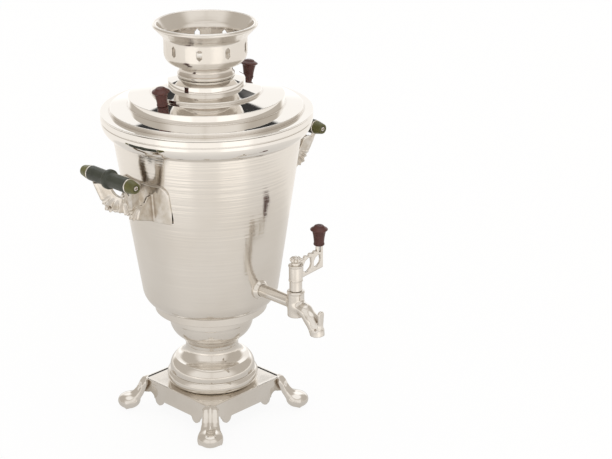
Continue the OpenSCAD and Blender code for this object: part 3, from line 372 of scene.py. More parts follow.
class Finish:
    """A material with a principled shader and short calls for the nodes that feed it."""

    def __init__(self, name, colour, metallic, roughness, **constant):
        self.material = bpy.data.materials.new(name)
        self.material.use_nodes = True
        self.tree = self.material.node_tree
        self.shader = self.tree.nodes["Principled BSDF"]
        self.shader.inputs["Base Color"].default_value = (*colour, 1)
        self.shader.inputs["Metallic"].default_value = metallic
        self.shader.inputs["Roughness"].default_value = roughness
        for socket, value in constant.items():
            self.shader.inputs[socket.replace("_", " ")].default_value = value
        self.place = self.node("ShaderNodeTexCoord").outputs["Object"]

    def node(self, kind, inputs=None, **settings):
        return add_node(self.tree, kind, inputs, **settings)

    def stretched(self, scale):
        """Object coordinates, scaled along each axis."""
        return self.node("ShaderNodeMapping", {"Vector": self.place, "Scale": scale}).outputs[0]

    def noise(self, scale, detail=3.0, roughness=0.5, vector=None):
        made = self.node("ShaderNodeTexNoise", {"Vector": vector or self.place, "Scale": scale,
                                                "Detail": detail, "Roughness": roughness})
        return made.outputs["Fac"]

    def between(self, value, low, high, start=0.0, end=1.0):
        """Carries a value from the range start..end to low..high."""
        made = self.node("ShaderNodeMapRange", {"Value": value, "From Min": start,
                                                "From Max": end, "To Min": low, "To Max": high})
        return made.outputs["Result"]

    def tones(self, value, *stops):
        """A colour for each value, from stops of (place, colour)."""
        ramp = self.node("ShaderNodeValToRGB", {"Fac": value})
        for element, (place, colour) in zip(ramp.color_ramp.elements, stops):
            element.position = place
            element.color = (*colour, 1)
        for place, colour in stops[2:]:
            ramp.color_ramp.elements.new(place).color = (*colour, 1)
        return ramp.outputs["Color"]

    def raised(self, height, strength, distance, under=None):
        inputs = {"Height": height, "Strength": strength, "Distance": distance}
        if under is not None:
            inputs["Normal"] = under
        return self.node("ShaderNodeBump", inputs).outputs["Normal"]

    def crease_shade(self, reach):
        """Painted shade: one in a crease narrower than the reach, nought on open faces."""
        made = self.node("ShaderNodeAmbientOcclusion", {"Distance": reach}, samples=6,
                         only_local=True)
        return self.between(made.outputs["AO"], 1.0, 0.0, 0.25, 0.85)

    def tarnish_and_crease_shade(self, tone, reach):
        """A metal's tone, browned in its hollows by tarnish and by painted shade."""
        return self.node("ShaderNodeMix", {"Factor": self.crease_shade(reach), "A": tone,
                                           "B": (*TARNISH_AND_SHADE_BROWN, 1)}, data_type="RGBA").outputs["Result"]

    def feed(self, **links):
        for socket, value in links.items():
            self.tree.links.new(value, self.shader.inputs[socket.replace("_", " ")])


NICKEL = (0.800, 0.770, 0.728)
NICKEL_DULL = (0.740, 0.702, 0.650)
# A browner nickel: painted reflection of warm dark surroundings, put into the metal's tone
NICKEL_BROWN_REFLECTION = (0.610, 0.550, 0.465)
NICKEL_CLEAR = (0.870, 0.850, 0.820)
# Brown of tarnish and of painted shade, laid into creases
TARNISH_AND_SHADE_BROWN = (0.30, 0.215, 0.135)


def plated(name, low, high, patch=18.0, grain=0.012, grain_scale=900.0, reach=0.0,
           dull=NICKEL_DULL, clear=NICKEL, **constant):
    """Nickel plate: tarnish shifts its tone a little, tarnish and painted shade brown the creases,
    wiping marks its gloss, and a faint unevenness of the polished metal bends what it mirrors."""
    f = Finish(name, NICKEL, 1.0, low, **constant)
    cloud = f.noise(patch, 4, 0.55)
    tone = f.tones(cloud, (0.30, dull), (0.62, clear))
    # Creases within reach are browned: tarnish together with painted shade
    f.feed(Base_Color=f.tarnish_and_crease_shade(tone, reach) if reach else tone)
    wiped = f.noise(60.0, 5, 0.6, f.stretched((1.0, 1.0, 2.2)))
    f.feed(Roughness=f.between(wiped, low, high, 0.35, 0.75))
    wave = f.raised(f.noise(34.0, 2, 0.4), 0.10, 0.0006)
    f.feed(Normal=f.raised(f.noise(grain_scale, 2, 0.5), grain, 0.0002, wave))
    return f.material


def brushed(name, low, high, lines, depth, waves, reach=0.0, **constant):
    """Brushed nickel: fine lines run round the axis, each with its own depth and gloss, over
    the low waves that the spinning roller leaves."""
    f = Finish(name, NICKEL, 1.0, low, **constant)
    fine = f.noise(lines, 3, 0.7, f.stretched((0.02, 0.02, 1.0)))
    broad = f.noise(lines * 0.12, 2, 0.5, f.stretched((0.05, 0.05, 1.0)))
    cloud = f.noise(11.0, 3, 0.5)
    tone = f.tones(cloud, (0.32, NICKEL_DULL), (0.60, NICKEL))
    # Creases within reach are browned: tarnish together with painted shade
    f.feed(Base_Color=f.tarnish_and_crease_shade(tone, reach) if reach else tone)
    f.feed(Roughness=f.between(fine, low, high, 0.30, 0.75))
    tangent = f.node("ShaderNodeTangent", direction_type="RADIAL", axis="Z").outputs[0]
    f.feed(Tangent=tangent)
    roller = f.noise(400.0, 2, 0.5, f.stretched((0.02, 0.02, 1.0)))
    wave = f.raised(broad, 0.12, 0.0004, f.raised(roller, waves, 0.0006))
    f.feed(Normal=f.raised(fine, depth, 0.0002, wave))
    return f.material


def moulded(name, dark, light, low, high, speck=520.0):
    """Moulded plastic: flow marks vary its tone, fine pits and rubbing its gloss."""
    f = Finish(name, light, 0.0, low, Specular_IOR_Level=0.5)
    flow = f.noise(90.0, 4, 0.6, f.stretched((1.0, 0.5, 1.0)))
    f.feed(Base_Color=f.tones(flow, (0.30, dark), (0.70, light)))
    rubbed = f.noise(210.0, 4, 0.6)
    f.feed(Roughness=f.between(rubbed, low, high, 0.3, 0.7))
    f.feed(Normal=f.raised(f.noise(speck, 3, 0.6), 0.10, 0.0003))
    return f.material


def plain(name, dark, light, metallic, low, high, scale=160.0):
    """A workaday metal or rubber for hidden pieces: mottled tone, uneven gloss, fine pits."""
    f = Finish(name, light, metallic, low)
    mottle = f.noise(scale, 4, 0.6)
    f.feed(Base_Color=f.tones(mottle, (0.3, dark), (0.7, light)))
    f.feed(Roughness=f.between(f.noise(3 * scale, 3), low, high, 0.3, 0.7))
    f.feed(Normal=f.raised(f.noise(6 * scale, 3), 0.08, 0.0002))
    return f.material


# Each reach below sets how wide a crease gets painted shade, browned like tarnish
SATIN_TANK = brushed("tank_brushed_nickel", 0.10, 0.22, 2600.0, 0.05, 0.32, Anisotropic=0.6,
                     Anisotropic_Rotation=0.25)
# The crown's reach paints shade inside its slots
SATIN_CROWN = brushed("crown_brushed_nickel", 0.12, 0.24, 2400.0, 0.05, 0.12, 0.022,
                      Anisotropic=0.5, Anisotropic_Rotation=0.25)
MIRROR = plated("lid_mirror_nickel", 0.015, 0.05, reach=0.003, dull=(0.86, 0.835, 0.795),
                clear=NICKEL_CLEAR)
BRIGHT = plated("pedestal_bright_nickel", 0.07, 0.14, grain=0.02, reach=0.006)
BASE_PLATE = plated("base_satin_nickel", 0.04, 0.10, grain=0.03, reach=0.004)
CAST = plated("cast_nickel", 0.14, 0.26, patch=60.0, grain=0.06, grain_scale=700.0, reach=0.006)
# The brackets' dull tone is browned as a painted reflection of the warm dark they mirror
HANDLE_CAST = plated("bracket_cast_nickel", 0.16, 0.30, patch=90.0, grain=0.06,
                     grain_scale=700.0, reach=0.009, dull=NICKEL_BROWN_REFLECTION)
BROWN = moulded("brown_knob_plastic", (0.060, 0.016, 0.013), (0.125, 0.040, 0.032), 0.22, 0.42)
GREEN = moulded("green_grip_plastic", (0.030, 0.036, 0.026), (0.062, 0.070, 0.054), 0.28, 0.44)
OLIVE = moulded("olive_cap_plastic", (0.090, 0.088, 0.024), (0.160, 0.155, 0.044), 0.26, 0.42)
SCREW = plated("screw_nickel", 0.12, 0.24, patch=200.0, reach=0.0025)
STEEL = plain("plain_steel", (0.36, 0.36, 0.35), (0.52, 0.52, 0.50), 1.0, 0.24, 0.42)
BRASS = plain("turned_brass", (0.44, 0.31, 0.12), (0.62, 0.46, 0.20), 1.0, 0.22, 0.40)
RUBBER = plain("black_rubber", (0.018, 0.018, 0.018), (0.035, 0.034, 0.032), 0.0, 0.55, 0.75)


# ---- sheet pieces turned on the axis ------------------------------------------


def sheet_profiles():
    """Outlines of the pedestal's spun pieces, from its foot up, each as (name, profile)."""
    ring = np.vstack([line((36, BASE_TOP)),
                      arc(40.5, BASE_TOP + 6.95, 7.5, -67.9, 52.5), line((38.6, BELL_FOOT))])
    bell = np.vstack([line((38.6, BELL_FOOT), (44.6, BELL_FOOT)),
                      arc(30.4, BELL_FOOT + 2.6, 14.2, 0, 54),
                      arc(41.604, CUP_FOOT - 1.2, 14.104, 258.3, 180)[1:],
                      line((27.5, CUP_FOOT), (21.5, CUP_FOOT))])
    band = DRIP_FOOT - 6.5
    cup = np.vstack([line((21.5, CUP_FOOT), (27.5, CUP_FOOT), (28.3, CUP_FOOT + 4)),
                     arc(21.3, band, 22.4, -58, -2),
                     line((44.5, band + 0.8), (44.5, DRIP_FOOT), (38.5, DRIP_FOOT))])
    drip = line((4.4, DRIP_FOOT), (44.5, DRIP_FOOT), (56.4, DRIP_FOOT + 4.6),
                (58.4, DRIP_FOOT + 5.6), (58.4, DRIP_FOOT + 13.2))
    return [("foot_ring", ring), ("pedestal_bell", bell), ("neck_cup", cup), ("drip_ring", drip)]


for name, profile in sheet_profiles():
    mesh(name + "_sheet", *turned(soft(walled(profile, SPUN_WALL), 0.5, True)), BRIGHT,
         "samovar", [name], "bright_nickel")

tank_line = np.vstack([line((0, TANK_FOOT)),
                       arc(TANK_TAN_R - TANK_ROUND * math.cos(TAPER), TANK_FOOT + TANK_ROUND,
                           TANK_ROUND, -90, -math.degrees(TAPER), 16),
                       line((tank_r(MOUTH), MOUTH))])
mesh("tank_shell", *turned(soft(walled(tank_line, SPUN_WALL), 0.5, False), 224), SATIN_TANK,
     "samovar", ["tank"], "satin_nickel")


def brim_outline():
    """The brim: a quarter round under an upright band with a groove below it, closed inside."""
    band = MOUTH - 6
    edge = 106.3
    bow = 18.3
    wall_gap = 0.15
    under = MOUTH - SPUN_WALL
    low = arc(edge - bow, band - 0.5, bow, -70, -1.5, 14)
    return np.vstack([line((tank_r(low[0, 1]) + wall_gap, low[0, 1])), low,
                      line((edge - 0.5, band - 0.4), (edge - 0.5, band + 0.3),
                           (edge, band + 0.5), (edge, MOUTH), (tank_r(MOUTH) + wall_gap, MOUTH),
                           (tank_r(under) + wall_gap, under),
                           (edge - 1.3, under), (edge - 1.4, band)),
                      arc(edge - bow, band - 0.5, bow - SPUN_WALL, -4, -62, 10)])


mesh("brim_sheet", *turned(soft(brim_outline(), 0.4, True), 200), MIRROR, "samovar", ["brim"],
     "bright_nickel")

# The lid's steps from the rim in: the radius of each riser, its foot and its top
STEP_1 = (96.61, 333.3, 337.0)
STEP_2 = (78.41, 339.36, 348.56)
STEP_3 = (55.2, 351.57, 354.47)
STEP_4 = (38.9, 358.54, 364.74)
COLLAR = (24.2, 367.2, 372.2)
LID_EDGE = 106.5
lid_line = line((LID_EDGE, LID_FOOT), (LID_EDGE, STEP_1[1]),
                *(corner for r, low, high in (STEP_1, STEP_2, STEP_3, STEP_4)
                  for corner in ((r, low), (r, high))),
                (29.0, COLLAR[1]), COLLAR[:2], (COLLAR[0], COLLAR[2]), (0, COLLAR[2]))
lid_shell = turned(soft(walled(lid_line, LID_WALL), 0.5, False)[::-1], 224)
lid_skirt = turned(soft(line((94.7, 323.5), (95.7, 323.5), (95.7, 336.2), (94.7, 336.2)), 0.3,
                        True), 160)
mesh("lid_sheet", *joined(lid_shell, lid_skirt), MIRROR, "lid", ["lid"], "bright_nickel")

# The bearing of the middle of one slot in the crown
SLOT_TURN = math.radians(-61)


def crown_shape():
    """The crown: turned below and above its drum, and a drum wall pierced by nine slots.

    Around each slot the wall is a patch: the point at share t runs straight from the slot's
    edge to the edge of the slot's sector, in angle and height, and is then wrapped on the drum.
    """
    drum, wall, foot = 41.5, SPUN_WALL, CROWN_FOOT
    low_z, high_z, count, per_side = foot + 24.4, foot + 37.0, 9, 16
    lower = np.vstack([line((28.4, foot), (28.4, foot + 1.8)),
                       arc(33.4, foot + 8, 7, 228, 150), arc(29.5, low_z, 12, -72, 0)])
    lip_r, lip_top, bead = 49.7, foot + 54, 2.2
    upper = np.vstack([arc(49.5, high_z, 8, 180, 135), line((lip_r, lip_top - 2 * bead))])
    lip = arc(lip_r, lip_top - bead, bead, -60, 160, 14)

    def inner(p):
        return walled(p, wall)[len(p):][::-1]

    around = count * per_side
    below = np.vstack([inner(lower)[::-1], lower])
    above = np.vstack([upper[:-1], lip, inner(upper[:-1])[::-1]])

    def strip(profile):
        return turned(profile, around, SLOT_TURN - math.pi / count, False)

    half_w, half_h = 2.75, 6.0
    mid = (low_z + high_z) / 2
    sector = math.pi / count * drum
    up = (high_z - low_z) / 2
    across = np.linspace(-1, 1, per_side + 1)
    rise = np.linspace(-1, 1, 13)
    edge = np.vstack([np.column_stack([across[:-1] * sector, np.full(per_side, -up)]),
                      np.column_stack([np.full(12, sector), rise[:-1] * up]),
                      np.column_stack([-across[:-1] * sector, np.full(per_side, up)]),
                      np.column_stack([np.full(12, -sector), -rise[:-1] * up])])
    angle = np.arctan2(edge[:, 1] / up, edge[:, 0] / sector)
    hexagon = np.array([(0, -half_h), (half_w, half_w - half_h), (half_w, half_h - half_w),
                        (0, half_h), (-half_w, half_h - half_w), (-half_w, half_w - half_h)])
    hole = np.empty_like(edge)
    share = (np.degrees(angle) + 90) % 360 / 60
    corner_share = np.array([0, 0.75, 2.25, 3, 3.75, 5.25, 6])
    for axis in (0, 1):
        hole[:, axis] = np.interp(share, corner_share, np.append(hexagon[:, axis],
                                                                 hexagon[0, axis]))
    t = np.array([0, 0.06, 0.25, 0.6, 1.0])[:, None, None]
    flat = hole + t * (edge - hole)
    n = len(edge)
    rings = len(t)
    out = []
    for number in range(count):
        centre = SLOT_TURN + 2 * math.pi * number / count
        shell = []
        for radius in (drum, drum - wall):
            a = centre + flat[..., 0] / drum
            shell.append(np.stack([radius * np.cos(a), radius * np.sin(a), mid + flat[..., 1]],
                                  -1).reshape(-1, 3))
        i, j = np.arange(rings - 1)[:, None], np.arange(n)[None]
        k = (j + 1) % n
        quad = np.stack([i * n + j, (i + 1) * n + j, (i + 1) * n + k, i * n + k],
                        2).reshape(-1, 4)
        j = np.arange(n)
        k = (j + 1) % n
        throat = np.column_stack([j, k, rings * n + k, rings * n + j])
        out.append((np.vstack(shell), np.vstack([quad, quad[:, ::-1] + rings * n, throat])))
    return joined(strip(below), strip(above), *out)


mesh("crown_sheet", *crown_shape(), SATIN_CROWN, "crown", ["crown"], "satin_nickel")


# ---- base ---------------------------------------------------------------------


def base_field(p):
    """The footed base in one eighth: a plate, a scalloped skirt and a ridged leg on the corner."""
    half, top, wall = 52.1, BASE_TOP, 3.0
    ax, ay, z = np.abs(p[..., 0]), np.abs(p[..., 1]), p[..., 2]
    a, b = np.maximum(ax, ay), np.minimum(ax, ay)
    plate = np.maximum(a - half, np.abs(z - top + wall / 2) - wall / 2)
    skirt = 15.3 - z
    skirt = blend(skirt, np.hypot(b - 28.5, z - 15.0) - 5.5, 1.0)
    skirt = both(skirt, 5.5 - np.hypot(b - 41.1, z - 15.3), 0.8)
    skirt = np.where(b > 41.1, np.maximum(skirt, 20.8 - z - 0.3 * (b - 41.1)), skirt)
    skirt = both(np.maximum(skirt, z - top), np.abs(a - half + wall / 2) - wall / 2, 0.3)
    body = blend(both(plate, a - half, 0.3), skirt, 0.5)
    out, side = (a + b) / math.sqrt(2), (a - b) / math.sqrt(2)
    leg = leg_field(out, side, z)
    body = blend(body, leg, 1.5)
    return both(body, -z, 0.6)


def leg_field(out, side, z):
    """A leg: a crowned strip with a rib down its middle, and an ellipsoid for its foot.

    The strip follows the line of stations (distance out, height, half width, thickness), and
    the foot stands on its lowest point.
    """
    stations = np.array([(70.5, 36.6, 8.6, 7.0), (74.6, 34.8, 8.6, 7.0), (77.3, 31.0, 8.5, 7.0),
                         (79.3, 26.6, 8.6, 7.2), (81.6, 22.6, 9.0, 7.6), (84.8, 19.2, 10.0, 8.4),
                         (89.0, 16.8, 11.4, 9.0), (93.0, 14.6, 11.8, 8.0)])
    near = np.full(out.shape, 1e9)
    section = np.full(out.shape, 1e9)
    rib = 1.3 * np.exp(-(side / 2.1) ** 2) * np.clip((91.0 - out) / 5, 0, 1)
    crown = rib - 0.030 * side ** 2
    for s, e in zip(stations[:-1], stations[1:]):
        run = e[:2] - s[:2]
        size = math.hypot(*run)
        qx, qz = out - s[0], z - s[1]
        along = (qx * run[0] + qz * run[1]) / size
        t = np.clip(along / size, 0, 1)
        away = np.hypot(qx - t * run[0], qz - t * run[1])
        normal = (qz * run[0] - qx * run[1]) / size
        w, thick = (s[i] + t * (e[i] - s[i]) for i in (2, 3))
        roof = normal + 1.0 - crown
        under = -normal - thick - 0.02 * side ** 2
        here = both(both(roof, side - w, 2.0), under, 2.0)
        closer = away < near
        near = np.where(closer, away, near)
        section = np.where(closer, here, section)
    foot_high = 8.3
    foot = np.sqrt(((out - 89.8) / 11.9) ** 2 + (side / 12.6) ** 2
                   + ((z - 8.0) / foot_high) ** 2)
    return blend(np.maximum(np.maximum(section, 70.0 - out), out - 92.0),
                 (foot - 1) * foot_high, 3.5)


mesh("base_casting", *cast(base_field, (-105, -105, -2), (105, 105, 37), 0.9), BASE_PLATE,
     "samovar", ["base"], "bright_nickel")


# ---- handles --------------------------------------------------------------------

def bracket_field(p):
    """A handle bracket: a flange on the tank, two side walls that spread to the ears, and a
    scalloped front wall with a round notch. It is worked out on one half, as both are alike."""
    x, y, z = p[..., 0], p[..., 1], p[..., 2]
    v = np.abs(y)
    q = np.stack([x, v, z], -1)
    off = (np.hypot(x, y) - tank_r(z)) * math.cos(TAPER)
    from_grip = np.hypot(x - GRIP_AT, z - GRIP_Z)
    flange = np.maximum(v - 34, np.abs(z - 258) - 20)
    corner = np.hypot(np.maximum(v - 25, 0), np.maximum(z - 269, 0)) - 9
    flange = both(np.maximum(flange, corner), np.abs(off - 1.1) - 1.1, 0.7)
    half_wall = 1.5
    ear_top, toe = (126.5, 27.9, 284.0), (118.0, 18.0, 251.5)
    root_top, root_low = (tank_r(268), 14.8, 268.0), (tank_r(240), 12.5, 240.0)
    side = np.minimum(sheet(q, ear_top, toe, root_top), sheet(q, toe, root_low, root_top))
    gap_x, gap_z = 104, 268
    turn = np.arctan2(x - gap_x, gap_z - z)
    reach = np.hypot(x - gap_x, z - gap_z)
    ridges = 1 - 2 * np.abs(np.sin(turn * 12))
    window = np.clip((reach - 9) / 5, 0, 1) * np.clip((turn - 0.15) / 0.3, 0, 1)
    window *= np.clip((1.5 - turn) / 0.3, 0, 1)
    side = side - half_wall - 0.9 * ridges * window
    side = carve(side, outline(x, z, [(115, 299), (113.5, 280), (112.5, 276), (110.5, 268),
                                      (107.5, 262.8), (104, 261), (100.5, 262.5), (97, 268),
                                      (80, 269), (80, 299)]), 1.0)
    mid_top, mid_low = (114.0, 0.0, 284.0), (111.0, 0.0, 251.5)
    front = np.minimum(sheet(q, ear_top, toe, mid_low), sheet(q, ear_top, mid_low, mid_top))
    notch_z, notch_r = 277.6, 10.3
    rise = z - notch_z
    angle = np.arctan2(v, -rise)
    reach = np.hypot(v, rise)
    ridges = 1 - 2 * np.abs(np.sin(angle * 11 + math.pi / 2))
    window = np.clip((reach - 14) / 5, 0, 1) * np.clip((0.95 - angle) / 0.25, 0, 1)
    front = front - half_wall - 1.0 * ridges * window
    front = both(front, reach - 27.0 - 0.8 * ridges * window, 1.2)
    front = carve(front, np.maximum(np.where(rise > 0, v, reach) - notch_r, 100 - x), 1.2)
    walls = blend(side, front, 2.0)
    walls = np.maximum(walls, 1.0 - off)
    ear = both(from_grip - 7.2, np.abs(v - 28.1) - 0.9, 0.5)
    whole = blend(blend(walls, flange, 1.6), ear, 1.6)
    bead = np.maximum(from_grip - 10.8, v - 27.0)
    return np.maximum(carve(whole, bead, 0.5), GRIP_BORE - from_grip)


bracket = cast(bracket_field, (80, -36, 236), (137, 36, 299), 0.6)


def turned_along_y(profile, around=72):
    """A piece turned on a grip's axis: the profile's heights run along Y from the grip's middle."""
    return set_at(turned(profile, around), (GRIP_AT, 0, GRIP_Z), (0, 1, 0))


# The tips of the caps, and the seats of the screw heads in them, from the grip's middle
CAP_TIP = 39.0
SCREW_SEAT = 37.8
grip_loop = line((GRIP_BORE, -27.2), (7.0, -27.2), (7.5, -26.7), (7.3, -6.6), (7.5, -3.8),
                 (9.0, -2.6), (9.8, -1.6), (9.8, 1.6), (9.0, 2.6), (7.5, 3.8), (7.3, 6.6),
                 (7.5, 26.7), (7.0, 27.2), (GRIP_BORE, 27.2))
cap_loop = line((GRIP_BORE, 29.0), (6.6, 29.0), (7.0, 29.5), (6.7, 31.5), (5.4, SCREW_SEAT),
                (4.9, CAP_TIP), (3.1, CAP_TIP), (3.1, SCREW_SEAT), (GRIP_BORE, SCREW_SEAT))
grip_shape = turned_along_y(soft(grip_loop, 0.6, True))
rear_cap = turned_along_y(soft(cap_loop, 0.4, True))
front_cap = turned_along_y(soft((cap_loop * np.array([1, -1]))[::-1], 0.4, True))


def screw_field(p):
    """A screw in a grip's end: its shank, its low domed head and the tapering cross in that."""
    x, v, z = p[..., 0], np.abs(p[..., 1]), p[..., 2]
    r = np.hypot(x, z)
    head = both(r - 2.3, np.maximum(v - CAP_TIP + 0.04 * r * r, SCREW_SEAT - v), 0.2)
    shank = np.maximum(r - 1.2, np.abs(v - 34.0) - 5.0)
    arms = np.minimum(np.abs(x), np.abs(z))
    cross = np.maximum(np.maximum(arms - 0.50, r - 1.8), 37.7 + 0.2 * r - v)
    return carve(np.minimum(head, shank), cross, 0.1)


screw_end = cast(screw_field, (-3.4, 28.4, -3.4), (3.4, 39.8, 3.4), 0.17)
screw_pair = joined(*(set_at(screw_end, (GRIP_AT, 0, GRIP_Z), UP, turn)
                      for turn in (0.0, math.pi)))
for side, place in (("right", lambda shape: shape), ("left", mirrored)):
    mesh("cap_screw_pair_" + side, *place(screw_pair), SCREW, "samovar", ["cap_screws_" + side],
         "steel")
    mesh("bracket_casting_" + side, *place(bracket), HANDLE_CAST, "samovar",
         ["bracket_" + side], "cast_nickel")
    mesh("grip_moulding_" + side, *place(grip_shape), GREEN, "samovar", ["grip_" + side],
         "green_plastic")
    for end, shape in (("front", front_cap), ("rear", rear_cap)):
        mesh(f"cap_moulding_{side}_{end}", *place(shape), OLIVE, "samovar",
             [f"cap_{side}_{end}"], "olive_plastic")


# ---- knobs ------------------------------------------------------------------------


def knob_shape(high):
    """A turned knob on its seat: a foot ring, a waisted stem, a thin brim and a domed top."""
    brim = 0.76 * high
    outside = line((4.9, 0), (5.5, 0.6), (5.5, 2.0), (5.1, 2.6), (5.4, 0.3 * high),
                   (6.0, 0.5 * high), (6.9, 0.7 * high), (8.8, brim), (8.8, brim + 0.9),
                   (7.8, brim + 1.6), (5.46, 0.91 * high), (4.58, 0.97 * high),
                   (2.64, high), (0, high))
    bore, deep = 1.85, 10.5
    inside = line((0, deep), (bore, deep), (bore, 0))
    return turned(soft(np.vstack([inside, outside]), 0.45, False), 96)


# The bearing of the lid's knobs, the slope of the step they stand on, their distance out
LID_TURN = math.radians(5.2)
TREAD = math.radians(7.4)
KNOB_AT = 63.504
for side, turn in (("right", LID_TURN), ("left", LID_TURN + math.pi)):
    out = np.array([math.cos(turn), math.sin(turn), 0])
    seat = KNOB_AT * out + (STEP_2[2] + (STEP_2[0] - KNOB_AT) * math.tan(TREAD) + 0.05) * UP
    axis = math.sin(TREAD) * out + math.cos(TREAD) * UP
    mesh("lid_knob_moulding_" + side, *set_at(knob_shape(19.0), seat, axis), BROWN, "lid",
         ["lid_knob_" + side], "brown_plastic")
mesh("key_knob_moulding",
     *set_at(knob_shape(21.3), (POST_X, BARREL_Y, KEY_FOOT + KEY_TOP), UP), BROWN, "key",
     ["key_knob"], "brown_plastic")


# ---- tap ----------------------------------------------------------------------------

def tap_field(p):
    """The tap's casting: shank, barrel with its rim, the falling spout and the thumb lug."""
    x, y, z = p[..., 0], p[..., 1] - BARREL_Y, p[..., 2]
    q = np.stack([x, y, z], -1)
    shank = pillar(q, (0, 32.7, TAP_Z), (0, 1, 0), 6.2, 32.7)
    r = np.hypot(x, y)
    barrel = both(r - 8.4, np.abs(z - 158.35) - 13.55, 0.8)
    barrel = blend(barrel, both(r - 8.9, np.abs(z - 170.1) - 0.6, 0.5), 0.5)
    line_of_spout = [(0, 156.6, 7.0), (-12.9, 153.9, 7.0), (-21.2, 147.1, 7.15),
                     (-27.5, 139.5, 7.3)]
    spout = np.full(x.shape, 1e9)
    for (y0, z0, r0), (y1, z1, r1) in zip(line_of_spout[:-1], line_of_spout[1:]):
        spout = blend(spout, rod(q, (0, y0, z0), (0, y1, z1), r0, r1), 1.5)
    down = (0, -math.sin(OUTLET_LEAN), math.cos(OUTLET_LEAN))
    mouth = pillar(q, (0, -29.2, 135.4), down, 7.3, 3.0)
    spout = both(blend(spout, mouth, 2.0), 132.5 - z, 0.8)
    lug = outline(x, z, [(-2.45, 140.7), (2.45, 140.7), (3.8, 155.7), (-3.8, 155.7)])
    lug = both(np.minimum(np.hypot(x, z - 155.7) - 3.8, lug), np.abs(y + 34.0) - 1.5, 1.4)
    whole = blend(blend(shank, barrel, 2.6), blend(spout, lug, 2.6), 2.4)
    whole = carve(whole, pillar(q, (0, -29.5, 132.5), down, 4.4, 5.0), 0.6)
    whole = carve(whole, np.linalg.norm(q - np.array([-5.5, -32.0, 140.5]), axis=-1) - 1.1, 0.4)
    whole = carve(whole, pillar(q, (0, 0, 160.0), (0, 0, 1), 5.45, 13.0), 0.3)
    return carve(whole, pillar(q, (0, 0, 146.0), (0, 0, 1), 5.6, 3.0), 0.3)


mesh("tap_casting", *cast(tap_field, (-10, BARREL_Y - 39, 131), (10, -58.5, 173), 0.5), CAST,
     "samovar", ["tap_body"], "cast_nickel")
rose_loop = line((6.3, 0), (10, 0), (10, 3.47), (7.7, 6.4), (6.3, 6.4))
mesh("tap_rose_turning", *set_at(turned(soft(rose_loop, 0.5, True), 96),
                                 (0, -tank_r(TAP_Z) + 2, TAP_Z), (0, -1, 0)), BRIGHT, "samovar",
     ["tap_rose"], "cast_nickel")

plug_loop = line((0, 148.6), (4.4, 148.6), (5.4, 171.9), (5.2, 172.2), (6.3, 172.2),
                 (6.3, KEY_FOOT), (3.6, KEY_FOOT), (3.6, 198.7), (2.5, 198.9), (2.5, 202.3),
                 (0, 202.3))
mesh("key_plug_turning", *set_at(turned(soft(plug_loop, 0.4, False), 96), (0, BARREL_Y, 0), UP),
     CAST, "key", ["key_plug"], "cast_nickel")

# The branch's outline, and that of the leaf-shaped holes in it, one by one unit large
BRANCH = [(5.3, 0.6), (37.62, 3.69), (37.62, KEY_TOP), (29.22, KEY_TOP), (28.8, 23.3),
          (25.74, 22.4), (22.44, 23.3), (19.8, 21.9), (15.18, 22.2), (12.54, 21.0), (5.3, 19.9)]
LEAF = np.array([(0, 0.15), (0, 0.55), (0.25, 0.85), (0.65, 1), (0.92, 0.92), (1, 0.5),
                 (0.88, 0.22), (0.55, 0.03), (0.25, 0)])


def branch_field(p):
    """The key's branch: a hub with two rims, a pierced bar and an upright post for the knob."""
    x, y, z = p[..., 0], p[..., 1] - BARREL_Y, p[..., 2] - KEY_FOOT
    r = np.hypot(x, y)
    hub = both(r - 6.8, np.abs(z - 8.4) - 8.4, 0.5)
    hub = blend(hub, both(r - 7.4, np.abs(z - 16.0) - 0.8, 0.5), 0.5)
    hub = blend(hub, both(r - 7.2, np.abs(z - 0.6) - 0.6, 0.4), 0.4)
    plate = outline(x, z, BRANCH)
    for cx, cz in ((26.4, 22.2), (19.8, 21.6), (13.2, 20.7)):
        plate = blend(plate, np.hypot(x - cx, z - cz) - 2.2, 0.6)
    for size, at in (((11.22, 13.63), (9.9, 5.68)), ((9.24, 11.08), (24.75, 7.38))):
        plate = carve(plate, outline(x, z, LEAF * size + at) - 0.2, 0.6)
    plate = both(plate, np.abs(y) - 1.6, 1.1)
    whole = blend(hub, plate, 1.6)
    whole = np.maximum(whole, 3.65 - r)
    return np.maximum(whole, 1.85 - np.hypot(np.hypot(x - POST_X, y), np.maximum(22.4 - z, 0)))


mesh("key_branch_casting", *cast(branch_field, (-9, BARREL_Y - 9, 181), (39, BARREL_Y + 9, 212),
                                 0.42), CAST, "key", ["key_branch"], "cast_nickel")


def rosette_shape():
    """A rosette on a narrow neck: over the height the radius follows a bud's profile, and round
    it swells and shrinks eight times, most at mid height, so that petals stand round a dome."""
    bud = soft(line((0, 0), (4.4, 0), (4.2, 2.6), (5.0, 3.2), (6.0, 5.0), (5.9, 6.6), (5.0, 7.6),
                    (3.4, 7.4), (2.7, 7.6), (1.8, 8.4), (0, 8.6)), 0.5, False)
    r, z = bud[:, :1], bud[:, 1:]
    a = np.linspace(0, 2 * math.pi, 128, endpoint=False)[None]
    lobes = np.clip(np.minimum((z - 2.6) / 1.4, (r - 2.4) / 1.6), 0, 1)
    r = r * (1 - 0.26 * lobes * (1 - np.abs(np.cos(4 * a))) ** 1.3)
    points = np.stack([r * np.cos(a), r * np.sin(a), np.broadcast_to(z, r.shape)], 2)
    return points.reshape(-1, 3), ring_faces(len(bud), a.size)


mesh("key_rosette_casting", *set_at(rosette_shape(), (0, BARREL_Y, 199.0), UP), CAST, "key",
     ["key_rosette"], "cast_nickel")

collar_loop = line((0, 32), (11, 32), (11, 51.6), (9.2, 51.6), (9.2, 35), (0, 35))
mesh("inlet_collar_moulding", *set_at(turned(soft(collar_loop, 0.5, False), 72), (0, 0, 52),
                                      (1, 1, 0)), RUBBER, "samovar", ["inlet_collar"], "rubber")


